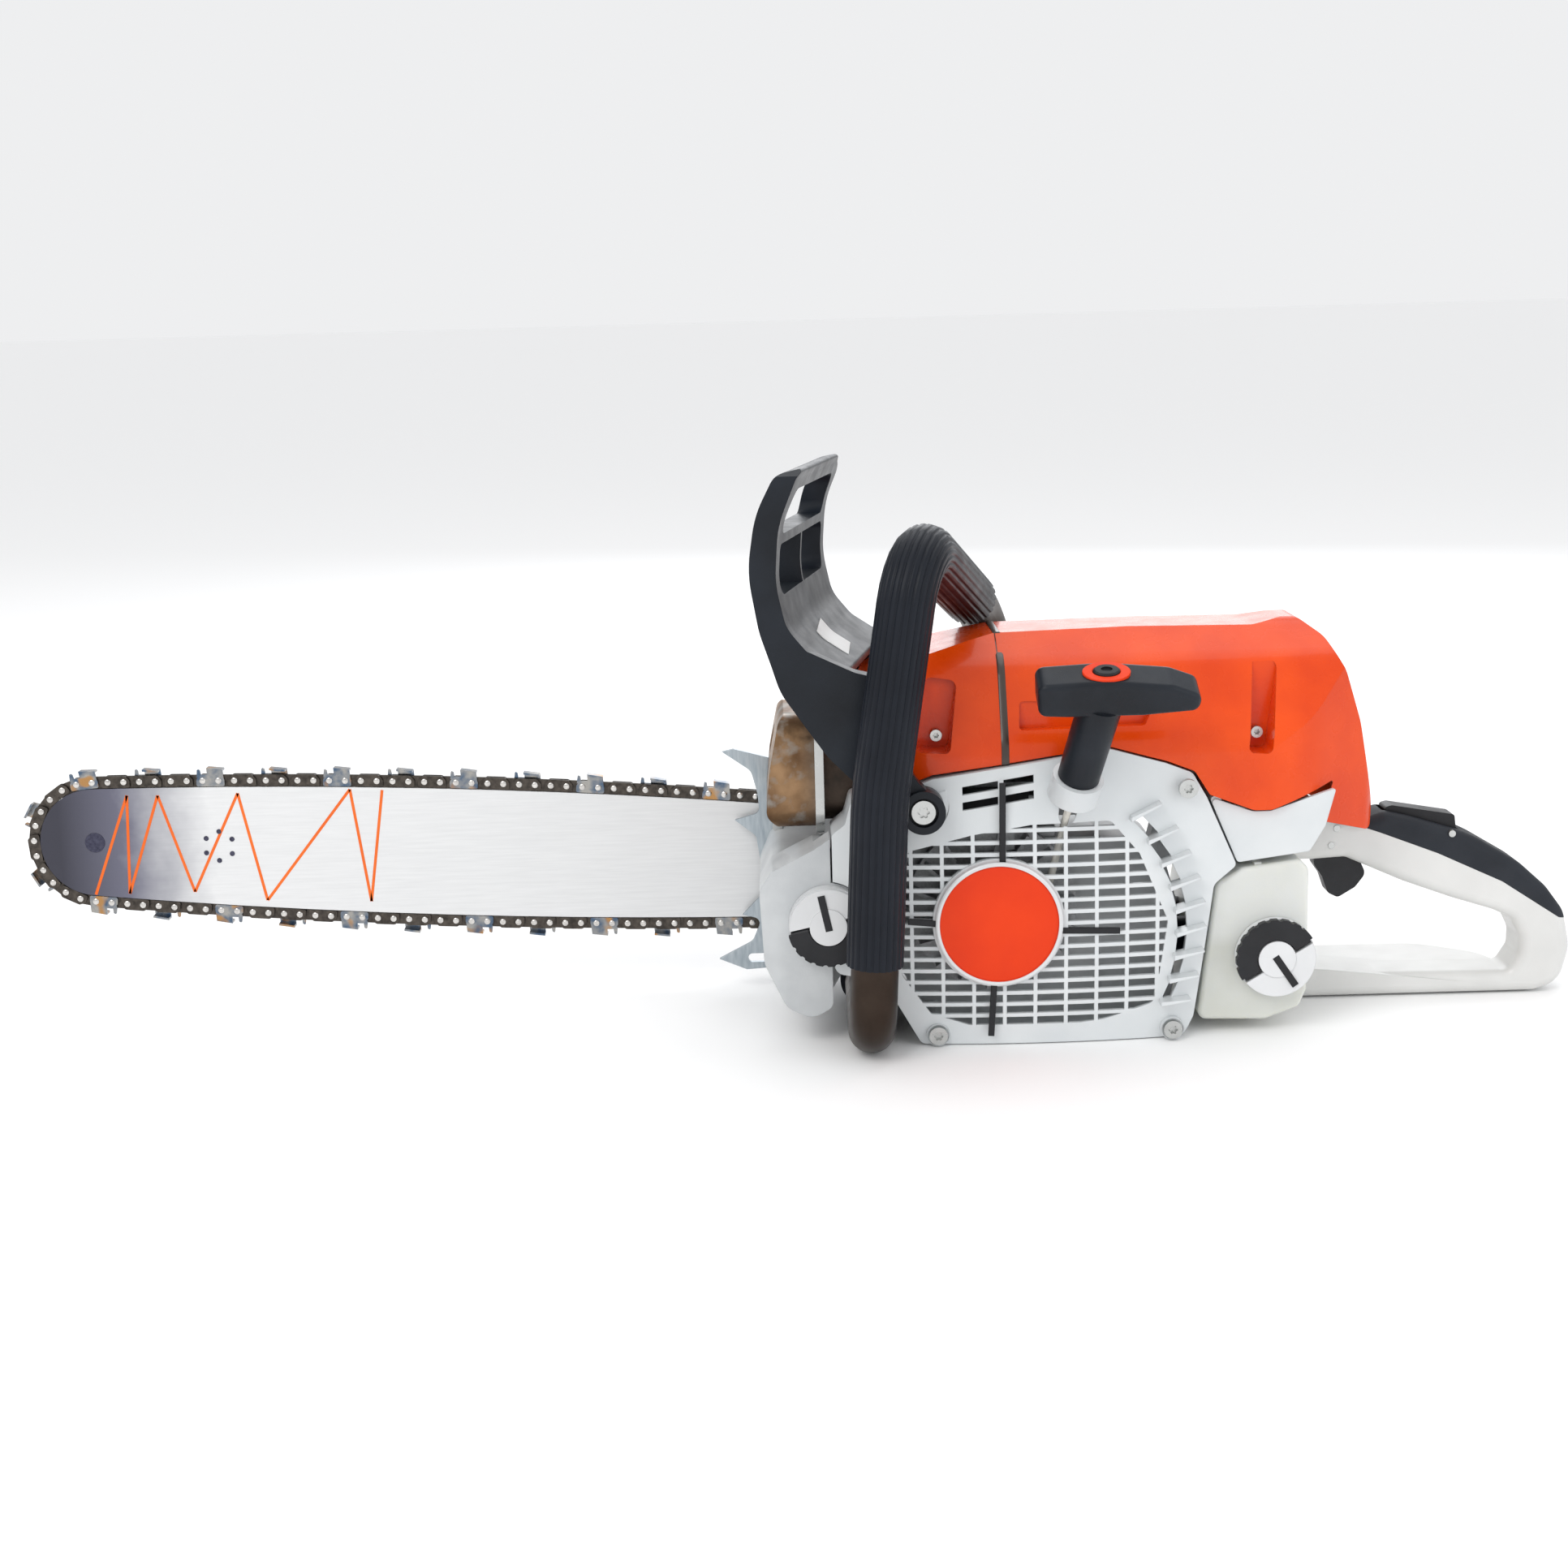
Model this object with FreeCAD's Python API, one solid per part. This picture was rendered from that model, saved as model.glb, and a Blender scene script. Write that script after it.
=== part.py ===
import FreeCAD, Part
import math
import os

# A petrol chainsaw, in millimetres.
# X runs along the saw: guide bar towards -X, rear handle towards +X, 0 on the crankshaft axis.
# Y runs across it: starter side -Y, cutting side +Y, 0 on the cylinder's middle plane.
# Z is up, 0 on the ground that the saw stands on.

V = FreeCAD.Vector

# ---------------------------------------------------------------- driving dimensions
crank_z = 71.5            # height of the crankshaft axis
stroke = 35.4
cylinder_bore = 51.0
rod_length = 66.0         # wrist pin to crank pin
run_gap = 0.05            # radial clearance of a running fit

case_left = -38.0         # crankcase faces
case_right = 36.0
deck_z = 108.0            # crankcase top, where the cylinder stands
fin_reach = 37.4              # cooling fins, each side of the middle
case_front = -132.0
case_rear = 106.0

# cutting gear
bar_y = 46.0              # middle plane of bar and chain
bar_tilt = 3.2            # degrees, nose up
bar_thick = 4.8
bar_half = 39.2           # half height at the widest place
bar_widest = 310.0        # distance of the widest place from the sprocket
bar_tail = 46.0           # distance of the bar's rear end from the sprocket
nose_radius = 33.0
groove_width = 1.7
groove_depth = 8.0
pitch = 9.525             # rivet to rivet
drive_links = 66
sprocket_teeth = 7
rivet_above_rail = 3.9
link_plate = 1.3

# starter side
fan_face = -86.0          # outer face of the fan housing at its middle
fan_wall = 2.6
dome_radius = 620.0
fan_open = -38.0
badge_radius = 33.5
slot_height = 4.4
slot_pitch = 6.6
rib_pitch = 17.0
rib_width = 2.2

# covers
cover_wall = 2.4
cover_left = -76.0
cover_right = 44.0
cover_seam = 4.0
cover_gap = 0.6

# handles
tube_radius = 13.0
sleeve_wall = 2.6
handle_left = -112.0
handle_right = 62.0
guard_axis = (-41.4, 137.7)

cap_radius = 22.0
oil_cap_at = (-94.0, 71.0)
fuel_cap_at = (155.0, 45.0)
cap_neck = 16.0

# tank and rear handle
tank_rear = 174.0
tank_left = -72.0
tank_right = 56.0
grip_half = 16.0          # half width of the rear handle


# ---------------------------------------------------------------- small helpers
def spot(plane, a, b, c=0.0):
    """A point of a drawing plane, c along the plane's normal."""
    if plane == "xz":
        return V(a, c, b)
    if plane == "yz":
        return V(c, a, b)
    return V(a, b, c)


def outline(points, plane="xz"):
    """Closed wire through corner points; a third value rounds that corner, as far as its sides allow."""
    corners = [spot(plane, p[0], p[1]) for p in points]
    radii = [p[2] if len(p) > 2 else 0.0 for p in points]
    count = len(corners)
    marks = []
    for i in range(count):
        here = corners[i]
        if radii[i] == 0.0:
            marks.append((here, None, here))
            continue
        back = corners[i - 1] - here
        ahead = corners[(i + 1) % count] - here
        shorter = min(back.Length, ahead.Length)
        back.normalize()
        ahead.normalize()
        half = back.getAngle(ahead) / 2
        reach = min(radii[i] / math.tan(half), 0.48 * shorter)
        radius = reach * math.tan(half)
        inward = (back + ahead).normalize()
        middle = here + inward * (radius / math.sin(half) - radius)
        marks.append((here + back * reach, middle, here + ahead * reach))
    edges = []
    for i in range(count):
        start, middle, end = marks[i]
        if middle is not None:
            edges.append(Part.Arc(start, middle, end).toShape())
        following = marks[(i + 1) % count][0]
        if end.distanceToPoint(following) > 1e-6:
            edges.append(Part.LineSegment(end, following).toShape())
    return Part.Wire(edges)


def slab(points, low, high, plane="xz"):
    """Flat solid: an outline pushed from low to high along its plane's normal."""
    face = Part.Face(outline(points, plane))
    face.translate(spot(plane, 0, 0, low))
    return face.extrude(spot(plane, 0, 0, high - low))


def block(x0, x1, y0, y1, z0, z1):
    return Part.makeBox(x1 - x0, y1 - y0, z1 - z0, V(x0, y0, z0))


def across(x, z, radius, y0, y1):
    """Cylinder along Y."""
    return Part.makeCylinder(radius, y1 - y0, V(x, y0, z), V(0, 1, 0))


def rod(start, end, radius, end_radius=None):
    """Cylinder or cone between two points."""
    a = V(*start)
    way = V(*end) - a
    if end_radius is None:
        return Part.makeCylinder(radius, way.Length, a, way)
    return Part.makeCone(radius, end_radius, way.Length, a, way)


def join(shapes):
    first = shapes[0]
    return first.fuse(shapes[1:]).removeSplitter()


def group(shapes):
    return Part.makeCompound(shapes)


def bent_wire(points):
    """Straight runs joined by tangent arcs; each inner point is (x, y, z, bend radius)."""
    spots = [V(p[0], p[1], p[2]) for p in points]
    edges = []
    last = spots[0]
    for i in range(1, len(spots) - 1):
        here = spots[i]
        back = (spots[i - 1] - here).normalize()
        ahead = (spots[i + 1] - here).normalize()
        half = back.getAngle(ahead) / 2
        radius = points[i][3]
        reach = radius / math.tan(half)
        inward = (back + ahead).normalize()
        middle = here + inward * (radius / math.sin(half) - radius)
        start = here + back * reach
        edges.append(Part.LineSegment(last, start).toShape())
        last = here + ahead * reach
        edges.append(Part.Arc(start, middle, last).toShape())
    edges.append(Part.LineSegment(last, spots[-1]).toShape())
    return Part.Wire(edges)


def pipe(points, radius):
    """Round bar along a bent wire."""
    path = bent_wire(points)
    way = V(*points[1][:3]) - V(*points[0][:3])
    ring = Part.Wire(Part.makeCircle(radius, V(*points[0][:3]), way))
    return path.makePipeShell([ring], True, False)


def screw(x, z, y_head, y_end, head_radius, head_height, shank_radius):
    """Star-socket screw along Y; y_head is the head's outer face."""
    inward = 1.0 if y_end > y_head else -1.0
    head = rod((x, y_head, z), (x, y_head + inward * head_height, z), head_radius)
    shank = rod((x, y_head, z), (x, y_end, z), shank_radius)
    body = join([head, shank])
    recess_depth = head_height * 0.7
    star = [rod((x, y_head, z), (x, y_head + inward * recess_depth, z), head_radius * 0.36)]
    for k in range(6):
        turn = math.radians(60 * k)
        px = x + head_radius * 0.36 * math.cos(turn)
        pz = z + head_radius * 0.36 * math.sin(turn)
        star.append(rod((px, y_head, pz), (px, y_head + inward * recess_depth, pz), head_radius * 0.13))
    return body.cut(join(star))


def on_bar(shape):
    """Turn a shape drawn level with the sprocket to the bar's tilt."""
    turned = shape.copy()
    turned.rotate(V(0, bar_y, crank_z), V(0, 1, 0), bar_tilt)
    return turned


# ---------------------------------------------------------------- bar and chain path
sprocket_radius = pitch / (2 * math.sin(math.pi / (2 * sprocket_teeth)))


def loop_edges(nose_at, offset, tail_radius):
    """Half loop above the bar's axis, from the nose tip round to the sprocket's rear.

    Drawn with the sprocket at 0 and the nose towards -X, heights from the bar's axis.
    offset is how far the line runs outside the rail."""
    taper = 2 * (bar_half - nose_radius)
    rise = ((nose_at - bar_widest) ** 2 + bar_half ** 2 - nose_radius ** 2) / taper
    nose_c = V(-nose_at, 0, 0)
    flank_c = V(-bar_widest, 0, bar_half - rise)
    outward = (nose_c - flank_c).normalize()
    nose_join = nose_c + outward * (nose_radius + offset)
    tip = V(-nose_at - nose_radius - offset, 0, 0)
    lean = math.atan2(outward.z, outward.x)
    nose_mid_turn = (math.pi + lean) / 2
    nose_mid = nose_c + V(math.cos(nose_mid_turn), 0, math.sin(nose_mid_turn)) * (nose_radius + offset)
    reach = rise + offset
    tail_x = -bar_tail - 8.0
    tail_turn = math.acos((tail_x - flank_c.x) / reach)
    tail_join = flank_c + V(math.cos(tail_turn), 0, math.sin(tail_turn)) * reach
    mid_turn = (lean + tail_turn) / 2
    flank_mid = flank_c + V(math.cos(mid_turn), 0, math.sin(mid_turn)) * reach
    edges = [Part.Arc(tip, nose_mid, nose_join).toShape()]
    edges.append(Part.Arc(nose_join, flank_mid, tail_join).toShape())
    if tail_radius is None:
        return edges, tail_join
    # straight from the rail to the sprocket's pitch circle
    gap = tail_join.Length
    touch = math.atan2(tail_join.z, tail_join.x) - math.acos(tail_radius / gap)
    touch_at = V(math.cos(touch), 0, math.sin(touch)) * tail_radius
    edges.append(Part.LineSegment(tail_join, touch_at).toShape())
    rear_mid = V(math.cos(touch / 2), 0, math.sin(touch / 2)) * tail_radius
    edges.append(Part.Arc(touch_at, rear_mid, V(tail_radius, 0, 0)).toShape())
    return edges, tail_join


def mirrored(edges):
    flip = FreeCAD.Matrix(1, 0, 0, 0, 0, 1, 0, 0, 0, 0, -1, 0, 0, 0, 0, 1)
    return [e.transformGeometry(flip) for e in edges]


def find_nose():
    """Nose distance at which the chain's links exactly go round."""
    wanted = 2 * drive_links * pitch
    low = 0.3 * wanted
    high = 0.6 * wanted
    for _ in range(40):
        middle = (low + high) / 2
        edges, _join = loop_edges(middle, rivet_above_rail, sprocket_radius)
        length = 2 * sum(e.Length for e in edges)
        if length > wanted:
            high = middle
        else:
            low = middle
    return (low + high) / 2


nose_at = find_nose()


def rivet_spots():
    """Equally spaced rivet places round the loop, as (x, z) from the sprocket."""
    half, _tail = loop_edges(nose_at, rivet_above_rail, sprocket_radius)
    count = drive_links
    length = sum(e.Length for e in half)
    step = length / count
    above = []
    for k in range(count + 1):
        rest = k * step
        for edge in half:
            if rest <= edge.Length + 1e-6:
                at = edge.getParameterByLength(min(rest, edge.Length))
                above.append(edge.valueAt(at))
                break
            rest -= edge.Length
    below = [V(p.x, 0, -p.z) for p in reversed(above[1:-1])]
    return above + below


def bar_outline(inset):
    """Bar's edge, or a line inset from it, as a closed wire at y = 0."""
    half, tail = loop_edges(nose_at, -inset, None)
    lower = mirrored(half)
    tail_end = -bar_tail - inset
    corner_up = V(tail_end, 0, tail.z - 6.0)
    corner_down = V(tail_end, 0, -tail.z + 6.0)
    tail_low = V(tail.x, 0, -tail.z)
    back = [Part.LineSegment(tail, corner_up).toShape()]
    back.append(Part.LineSegment(corner_up, corner_down).toShape())
    back.append(Part.LineSegment(corner_down, tail_low).toShape())
    return Part.Wire(Part.__sortEdges__(half + back + lower))


def bar_slab(inset, thick):
    face = Part.Face(bar_outline(inset))
    face.translate(V(0, bar_y - thick / 2, crank_z))
    return face.extrude(V(0, thick, 0))


stud_reach = (64.0, 102.0)      # bar studs, distance from the sprocket
stud_radius = 4.0
slot_half = 4.25


def guide_bar():
    plate = bar_slab(0.0, bar_thick)
    groove = bar_slab(-0.5, groove_width).cut(bar_slab(groove_depth, groove_width))
    slot_left = -stud_reach[1] - 12.0
    slot_right = -bar_tail + 1.0
    slot = block(slot_left, slot_right, bar_y - 5, bar_y + 5, crank_z - slot_half, crank_z + slot_half)
    cuts = [slot, across(slot_left, crank_z, slot_half, bar_y - 5, bar_y + 5)]
    for side in (-1, 1):
        cuts.append(across(-stud_reach[0], crank_z + side * 17.0, 3.2, bar_y - 5, bar_y + 5))
        cuts.append(across(-bar_tail - 12, crank_z + side * 21.0, 1.6, bar_y - 5, bar_y + 5))
    # round pocket for the nose sprocket, between the two outer sheets
    cuts.append(across(-nose_at, crank_z, nose_radius - 4.0, bar_y - groove_width / 2, bar_y + groove_width / 2))
    cuts.append(across(-nose_at, crank_z, 6.0, bar_y - 5, bar_y + 5))
    for hole in nose_rivet_places():
        cuts.append(across(hole[0], hole[1], 1.5, bar_y - 5, bar_y + 5))
    return on_bar(plate.cut(groove).cut(group(cuts)))


def nose_rivet_places():
    """Ring of six small rivets behind the nose sprocket."""
    centre = nose_at - 9.0 - 2 * nose_radius
    places = []
    for k in range(6):
        turn = math.radians(60 * k + 30)
        places.append((-centre + 9.0 * math.cos(turn), crank_z + 9.0 * math.sin(turn)))
    return places


def bar_rivets():
    pins = []
    for x, z in nose_rivet_places():
        pins.append(across(x, z, 1.5, bar_y - bar_thick / 2 - 0.2, bar_y + bar_thick / 2 + 0.2))
    hub = across(-nose_at, crank_z, 6.0, bar_y - bar_thick / 2 - 0.2, bar_y + bar_thick / 2 + 0.2)
    return on_bar(group(pins + [hub]))


def nose_sprocket():
    """Thin star wheel inside the bar nose, standing still with the chain."""
    thick = groove_width - 0.3
    wheel = across(-nose_at, crank_z, nose_radius - 7.2, bar_y - thick / 2, bar_y + thick / 2)
    hole = across(-nose_at, crank_z, 6.2, bar_y - thick, bar_y + thick)
    return on_bar(wheel.cut(hole))


# ---------------------------------------------------------------- chain
def placed(shape, at, to):
    """Copy of a link drawn from (0,0,0) to (pitch,0,0), laid from one rivet to the next."""
    turn = math.degrees(math.atan2(at.z - to.z, to.x - at.x))
    copy = shape.copy()
    spin = FreeCAD.Rotation(V(0, 1, 0), turn)
    copy.Placement = FreeCAD.Placement(V(at.x, bar_y, crank_z + at.z), spin)
    return copy


link_hole = 1.5
rivet_shank = 1.38


def strap(y0, y1):
    """Side plate of the chain, round over its two rivets and flat where it rides the rail."""
    reach = 3.7
    foot = -3.5
    points = [(-reach, foot, 1.2), (pitch + reach, foot, 1.2), (pitch + reach, 1.0, 2.6)]
    points += [(pitch + 1.0, reach, 2.0), (-1.0, reach, 2.0), (-reach, 1.0, 2.6)]
    plate = slab(points, y0, y1)
    holes = [across(x, 0, link_hole, y0 - 1, y1 + 1) for x in (0.0, pitch)]
    return plate.cut(group(holes))


plate_inner = 0.9         # inner face of the side plates from the chain's middle


def drive_link():
    """Centre link with the tang that runs in the bar's groove."""
    half = plate_inner - 0.15
    points = [(-3.6, 0.5, 2.0), (-1.0, 3.4, 2.0), (pitch + 1.0, 3.4, 2.0), (pitch + 3.6, 0.5, 2.0)]
    points += [(pitch + 2.2, -4.0, 1.0), (pitch * 0.5, -10.4, 1.2), (-2.2, -4.0, 1.0)]
    plate = slab(points, -half, half)
    holes = [across(x, 0, 1.5, -half - 1, half + 1) for x in (0.0, pitch)]
    return plate.cut(group(holes))


def cutter(side):
    """Cutting link: side plate with depth gauge in front and a top plate bent over the chain."""
    y0 = plate_inner
    y1 = y0 + link_plate
    base = strap(y0, y1)
    gauge = slab([(-0.6, 2.0), (-3.4, 2.0), (-3.0, 7.2, 0.8), (-1.4, 6.4, 0.5)], y0, y1)
    fin = slab([(3.2, 1.0), (pitch + 3.4, 1.0), (pitch + 2.6, 6.9), (2.6, 7.8)], y0, y1)
    top = slab([(2.7, 6.6), (pitch + 2.6, 5.7), (pitch + 2.6, 6.9), (2.6, 7.8)], y0 - 5.0, y1)
    holes = [across(x, 0, link_hole, y0 - 1, y1 + 1) for x in (0.0, pitch)]
    link = join([base, gauge, fin, top]).cut(group(holes))
    if side > 0:
        return link
    flip = FreeCAD.Matrix(1, 0, 0, 0, 0, -1, 0, 0, 0, 0, 1, 0, 0, 0, 0, 1)
    return link.transformGeometry(flip)


def chain_nodes():
    spots = rivet_spots()
    total = len(spots)
    upper = plate_inner + link_plate
    links = {"chain_drive_links": [], "chain_tie_straps": [], "chain_cutters": [], "chain_rivets": []}
    centre = drive_link()
    left = strap(-upper, -plate_inner)
    right = strap(plate_inner, upper)
    cutters = {1: cutter(1), -1: cutter(-1)}
    pin = across(0, 0, rivet_shank, -upper - 0.6, upper + 0.6)
    # a link's leading end is its first rivet: the chain runs towards the nose on top
    for k in range(total):
        here = spots[k]
        after = spots[(k + 1) % total]
        rivet = pin.copy()
        rivet.translate(V(here.x, bar_y, crank_z + here.z))
        links["chain_rivets"].append(rivet)
        if k % 2 == 0:
            links["chain_drive_links"].append(placed(centre, here, after))
            continue
        number = (k - 1) // 2
        if number % 2 == 1:
            links["chain_tie_straps"].append(placed(left, here, after))
            links["chain_tie_straps"].append(placed(right, here, after))
            continue
        side = 1 if number % 4 == 0 else -1
        links["chain_cutters"].append(placed(cutters[side], here, after))
        links["chain_tie_straps"].append(placed(left if side > 0 else right, here, after))
    return {name: on_bar(group(shapes)) for name, shapes in links.items()}


# ---------------------------------------------------------------- spikes, sprocket, clutch
def spike_plate():
    """Bumper spike bolted to the crankcase front, teeth towards the tree."""
    y1 = case_right + 3.0
    back = pad_front - 1.0
    points = [(back - 8.0, 143.0, 6.0), (-146.0, 149.5), (-153.0, 148.0), (-136.0, 136.0, 8.0), (-132.5, 122.0, 6.0)]
    points += [(-131.5, 110.0, 4.0), (-146.5, 106.0), (-134.0, 96.0, 6.0), (-131.5, 78.0, 5.0)]
    points += [(-131.0, 60.0, 4.0), (-143.5, 47.0), (-132.0, 44.0, 4.0), (-138.0, 30.0, 6.0)]
    points += [(-158.5, 19.5), (-142.0, 12.5), (-126.0, 13.5, 4.0), (back, 40.0)]
    plate = slab(points, case_right, y1)
    slot = slab([(-141.0, 22.5, 2.6), (-127.0, 22.5, 2.6), (-127.0, 17.0, 2.6), (-141.0, 17.0, 2.6)],
                case_right - 1, y1 + 1)
    holes = [across(x, z, 3.1, case_right - 1, y1 + 1) for x, z in spike_bolt_places]
    return plate.cut(group([slot] + holes))


spike_bolt_places = ((-121.0, 104.0), (-121.0, 52.0))


def spike_bolts():
    return group([screw(x, z, case_right + 7.0, case_right - 12.0, 5.5, 4.0, 3.0) for x, z in spike_bolt_places])


shaft_radius = 7.5
clutch_shaft_radius = 6.0
web_radius = 29.0
web_inner = 6.6
web_outer = 16.5
bearing_outer = 17.5
bearing_width = 11.0
seal_width = 4.0
drum_radius = 36.0
drum_wall = 2.0
drum_y = (50.4, 66.0)
sprocket_y = (42.6, 49.4)
hub_radius = 12.0
flywheel_y = (-60.0, -43.0)
flywheel_radius = 48.0
pulley_y = (-78.0, -67.0)
pulley_radius = 29.0
pulley_groove_radius = 24.0
crank_pin_radius = 7.0
web_gap = 0.4


def crankshaft():
    """Two half shafts with full round webs; the crank pin stays with the connecting rod."""
    left = [across(0, crank_z, web_radius, -web_outer, -web_inner)]
    left.append(across(0, crank_z, shaft_radius, case_left - 4.0, -web_outer))
    left.append(rod((0, case_left - 4.0, crank_z), (0, flywheel_y[0] + 2.0, crank_z), shaft_radius, 5.0))
    left.append(across(0, crank_z, 4.0, flywheel_y[0] - 4.5, flywheel_y[0] + 2.0))
    right = [across(0, crank_z, web_radius, web_inner, web_outer)]
    right.append(across(0, crank_z, shaft_radius, web_outer, case_right - 3.0))
    right.append(across(0, crank_z, clutch_shaft_radius, case_right - 3.0, drum_y[1] - 2.0))
    return group([join(left), join(right)])


def main_bearings():
    rings = []
    for side in (-1, 1):
        low = side * (web_outer + 0.5)
        high = side * (web_outer + 0.5 + bearing_width)
        a, b = min(low, high), max(low, high)
        outer = across(0, crank_z, bearing_outer, a, b).cut(across(0, crank_z, bearing_outer - 3.2, a - 1, b + 1))
        inner = across(0, crank_z, shaft_radius + 3.0, a, b)
        inner = inner.cut(across(0, crank_z, shaft_radius + run_gap, a - 1, b + 1))
        rings += [outer, inner]
        ball = 1.85
        middle = (a + b) / 2
        seat = (bearing_outer - 3.2 + shaft_radius + 3.0) / 2
        for k in range(9):
            turn = math.radians(40 * k)
            x = seat * math.cos(turn)
            z = crank_z + seat * math.sin(turn)
            rings.append(Part.makeSphere(ball, V(x, middle, z)))
    return group(rings)


def shaft_seals():
    rings = []
    for side in (-1, 1):
        low = side * (web_outer + 0.5 + bearing_width)
        high = side * (web_outer + 0.5 + bearing_width + seal_width)
        a, b = min(low, high), max(low, high)
        ring = across(0, crank_z, 14.0, a, b).cut(across(0, crank_z, shaft_radius + run_gap, a - 1, b + 1))
        rings.append(ring)
    return group(rings)


def flywheel():
    """Fan wheel of the starter side: a disc with curved blades and a magnet boss."""
    y0, y1 = flywheel_y
    disc = across(0, crank_z, flywheel_radius, y1 - 5.0, y1)
    hub = across(0, crank_z, 14.0, y0, y1)
    shapes = [disc, hub]
    blades = 18
    for k in range(blades):
        blade = block(18.0, flywheel_radius - 0.8, y0 + 1.0, y1 - 4.0, -1.0, 1.0)
        blade.rotate(V(18.0, 0, 0), V(0, 1, 0), 24.0)
        blade.translate(V(0, 0, crank_z))
        blade.rotate(V(0, 0, crank_z), V(0, 1, 0), 360.0 * k / blades)
        shapes.append(blade)
    magnet = block(-12.0, 12.0, y0 + 4.0, y1, crank_z + 34.0, crank_z + flywheel_radius - 0.5)
    shapes.append(magnet)
    wheel = join(shapes).common(across(0, crank_z, flywheel_radius, y0 - 1, y1 + 1))
    bore = rod((0, y1, crank_z), (0, y0 + 2.0, crank_z), shaft_radius, 5.0)
    bore = bore.fuse(across(0, crank_z, 5.0, y0 - 1, y0 + 2.0))
    return wheel.cut(bore).cut(starter_pawls())


def flywheel_nut():
    y0 = flywheel_y[0]
    nut = Part.Face(Part.makePolygon([V(8.0 * math.cos(math.radians(60 * k)), 0, 8.0 * math.sin(math.radians(60 * k)))
                                      for k in range(7)])).extrude(V(0, 5.5, 0))
    nut.translate(V(0, y0 - 5.5, crank_z))
    return nut.cut(across(0, crank_z, 4.0, y0 - 7, y0 + 1))


def starter_pawls():
    """Two sprung pawls that stand on the flywheel's hub face."""
    pawls = []
    for side in (-1, 1):
        arm = slab([(8.5, -3.0, 2.0), (20.0, -3.0, 2.0), (20.0, 3.0, 2.0), (8.5, 3.0, 2.0)],
                   flywheel_y[0] - 4.0, flywheel_y[0] + 1.0)
        pin = across(16.0, 0, 2.0, flywheel_y[0] - 4.5, flywheel_y[1] - 5.0)
        pawl = arm.fuse(pin)
        pawl.translate(V(0, 0, crank_z))
        pawl.rotate(V(0, 0, crank_z), V(0, 1, 0), 90.0 + 90.0 * side)
        pawls.append(pawl)
    return group(pawls)


def clutch_hub():
    """Centrifugal clutch: a hub with three arms."""
    y0, y1 = drum_y[0] + 3.2, drum_y[1] - 3.0
    shapes = [across(0, crank_z, hub_radius, y0, y1)]
    for k in range(3):
        arm = block(8.0, 21.0, y0, y1, -4.0, 4.0)
        arm.translate(V(0, 0, crank_z))
        arm.rotate(V(0, 0, crank_z), V(0, 1, 0), 120.0 * k + 90.0)
        shapes.append(arm)
    bore = across(0, crank_z, clutch_shaft_radius, y0 - 1, y1 + 1)
    return join(shapes).cut(bore)


def clutch_shoes():
    """Three weighted shoes between the hub's arms, clear of the drum at idle."""
    y0, y1 = drum_y[0] + 3.2, drum_y[1] - 3.0
    outer = drum_radius - drum_wall - 1.2
    ring = across(0, crank_z, outer, y0, y1)
    hub = clutch_hub().fuse(across(0, crank_z, hub_radius, y0, y1))
    shoes = []
    for k in range(3):
        start = 120.0 * k + 34.0
        wedge = slab([(0, 0), (80.0 * math.cos(math.radians(start)), 80.0 * math.sin(math.radians(start))),
                      (80.0 * math.cos(math.radians(start + 56)), 80.0 * math.sin(math.radians(start + 56))),
                      (80.0 * math.cos(math.radians(start + 112)), 80.0 * math.sin(math.radians(start + 112)))],
                     y0 - 1, y1 + 1)
        wedge.translate(V(0, 0, crank_z))
        shoes.append(ring.common(wedge).cut(hub))
    return group(shoes)


def clutch_drum():
    """Open cup outside the sprocket, running on a needle cage on the shaft."""
    y0, y1 = drum_y
    cup = across(0, crank_z, drum_radius, y0, y1)
    inside = across(0, crank_z, drum_radius - drum_wall, y0 + drum_wall, y1 + 1)
    bore = across(0, crank_z, 8.0, y0 - 1, y1 + 1)
    return cup.cut(inside.fuse(bore))


def needle_cage():
    y0, y1 = sprocket_y[0], drum_y[0] + drum_wall
    ring = across(0, crank_z, 7.9, y0, y1)
    return ring.cut(across(0, crank_z, clutch_shaft_radius + run_gap, y0 - 1, y1 + 1))


def rim_sprocket():
    """Seven-tooth rim that drives the chain's tangs between two flanges."""
    y0, y1 = sprocket_y
    flank = sprocket_radius - 4.6
    rim = across(0, 0, flank, y0, y1)
    gap = across(0, 0, flank + 1.0, bar_y - plate_inner, bar_y + plate_inner).cut(
        across(0, 0, flank - 6.0, bar_y - 2, bar_y + 2))
    body = rim.cut(gap).cut(across(0, 0, 8.0, y0 - 1, y1 + 1))
    body.translate(V(0, 0, crank_z))
    return on_bar(body)


def brake_band():
    """Steel band round the clutch drum, with the gap where its lever pulls."""
    y0, y1 = drum_y[0] + 2.0, drum_y[1] - 3.0
    radius = drum_radius + 0.8
    ring = across(0, crank_z, radius + 1.2, y0, y1).cut(across(0, crank_z, radius, y0 - 1, y1 + 1))
    gap = block(-radius - 5, 0, y0 - 1, y1 + 1, crank_z - 4.0, crank_z + 4.0)
    ring = ring.cut(gap)
    tab = block(-radius - 9.0, -radius, y0, y1, crank_z + 4.0, crank_z + 5.4)
    return ring.fuse(tab)


def oil_pump():
    """Chain oil pump round the shaft, with its outlet pipe to the bar pad."""
    y0, y1 = case_right, case_right + 5.4
    plate = slab([(-30.0, crank_z - 12.0, 6.0), (18.0, crank_z - 18.0, 8.0), (18.0, crank_z + 18.0, 8.0),
                  (-30.0, crank_z + 12.0, 6.0)], y0, y1)
    return plate.cut(across(0, crank_z, 8.5, y0 - 1, y1 + 1))


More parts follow.
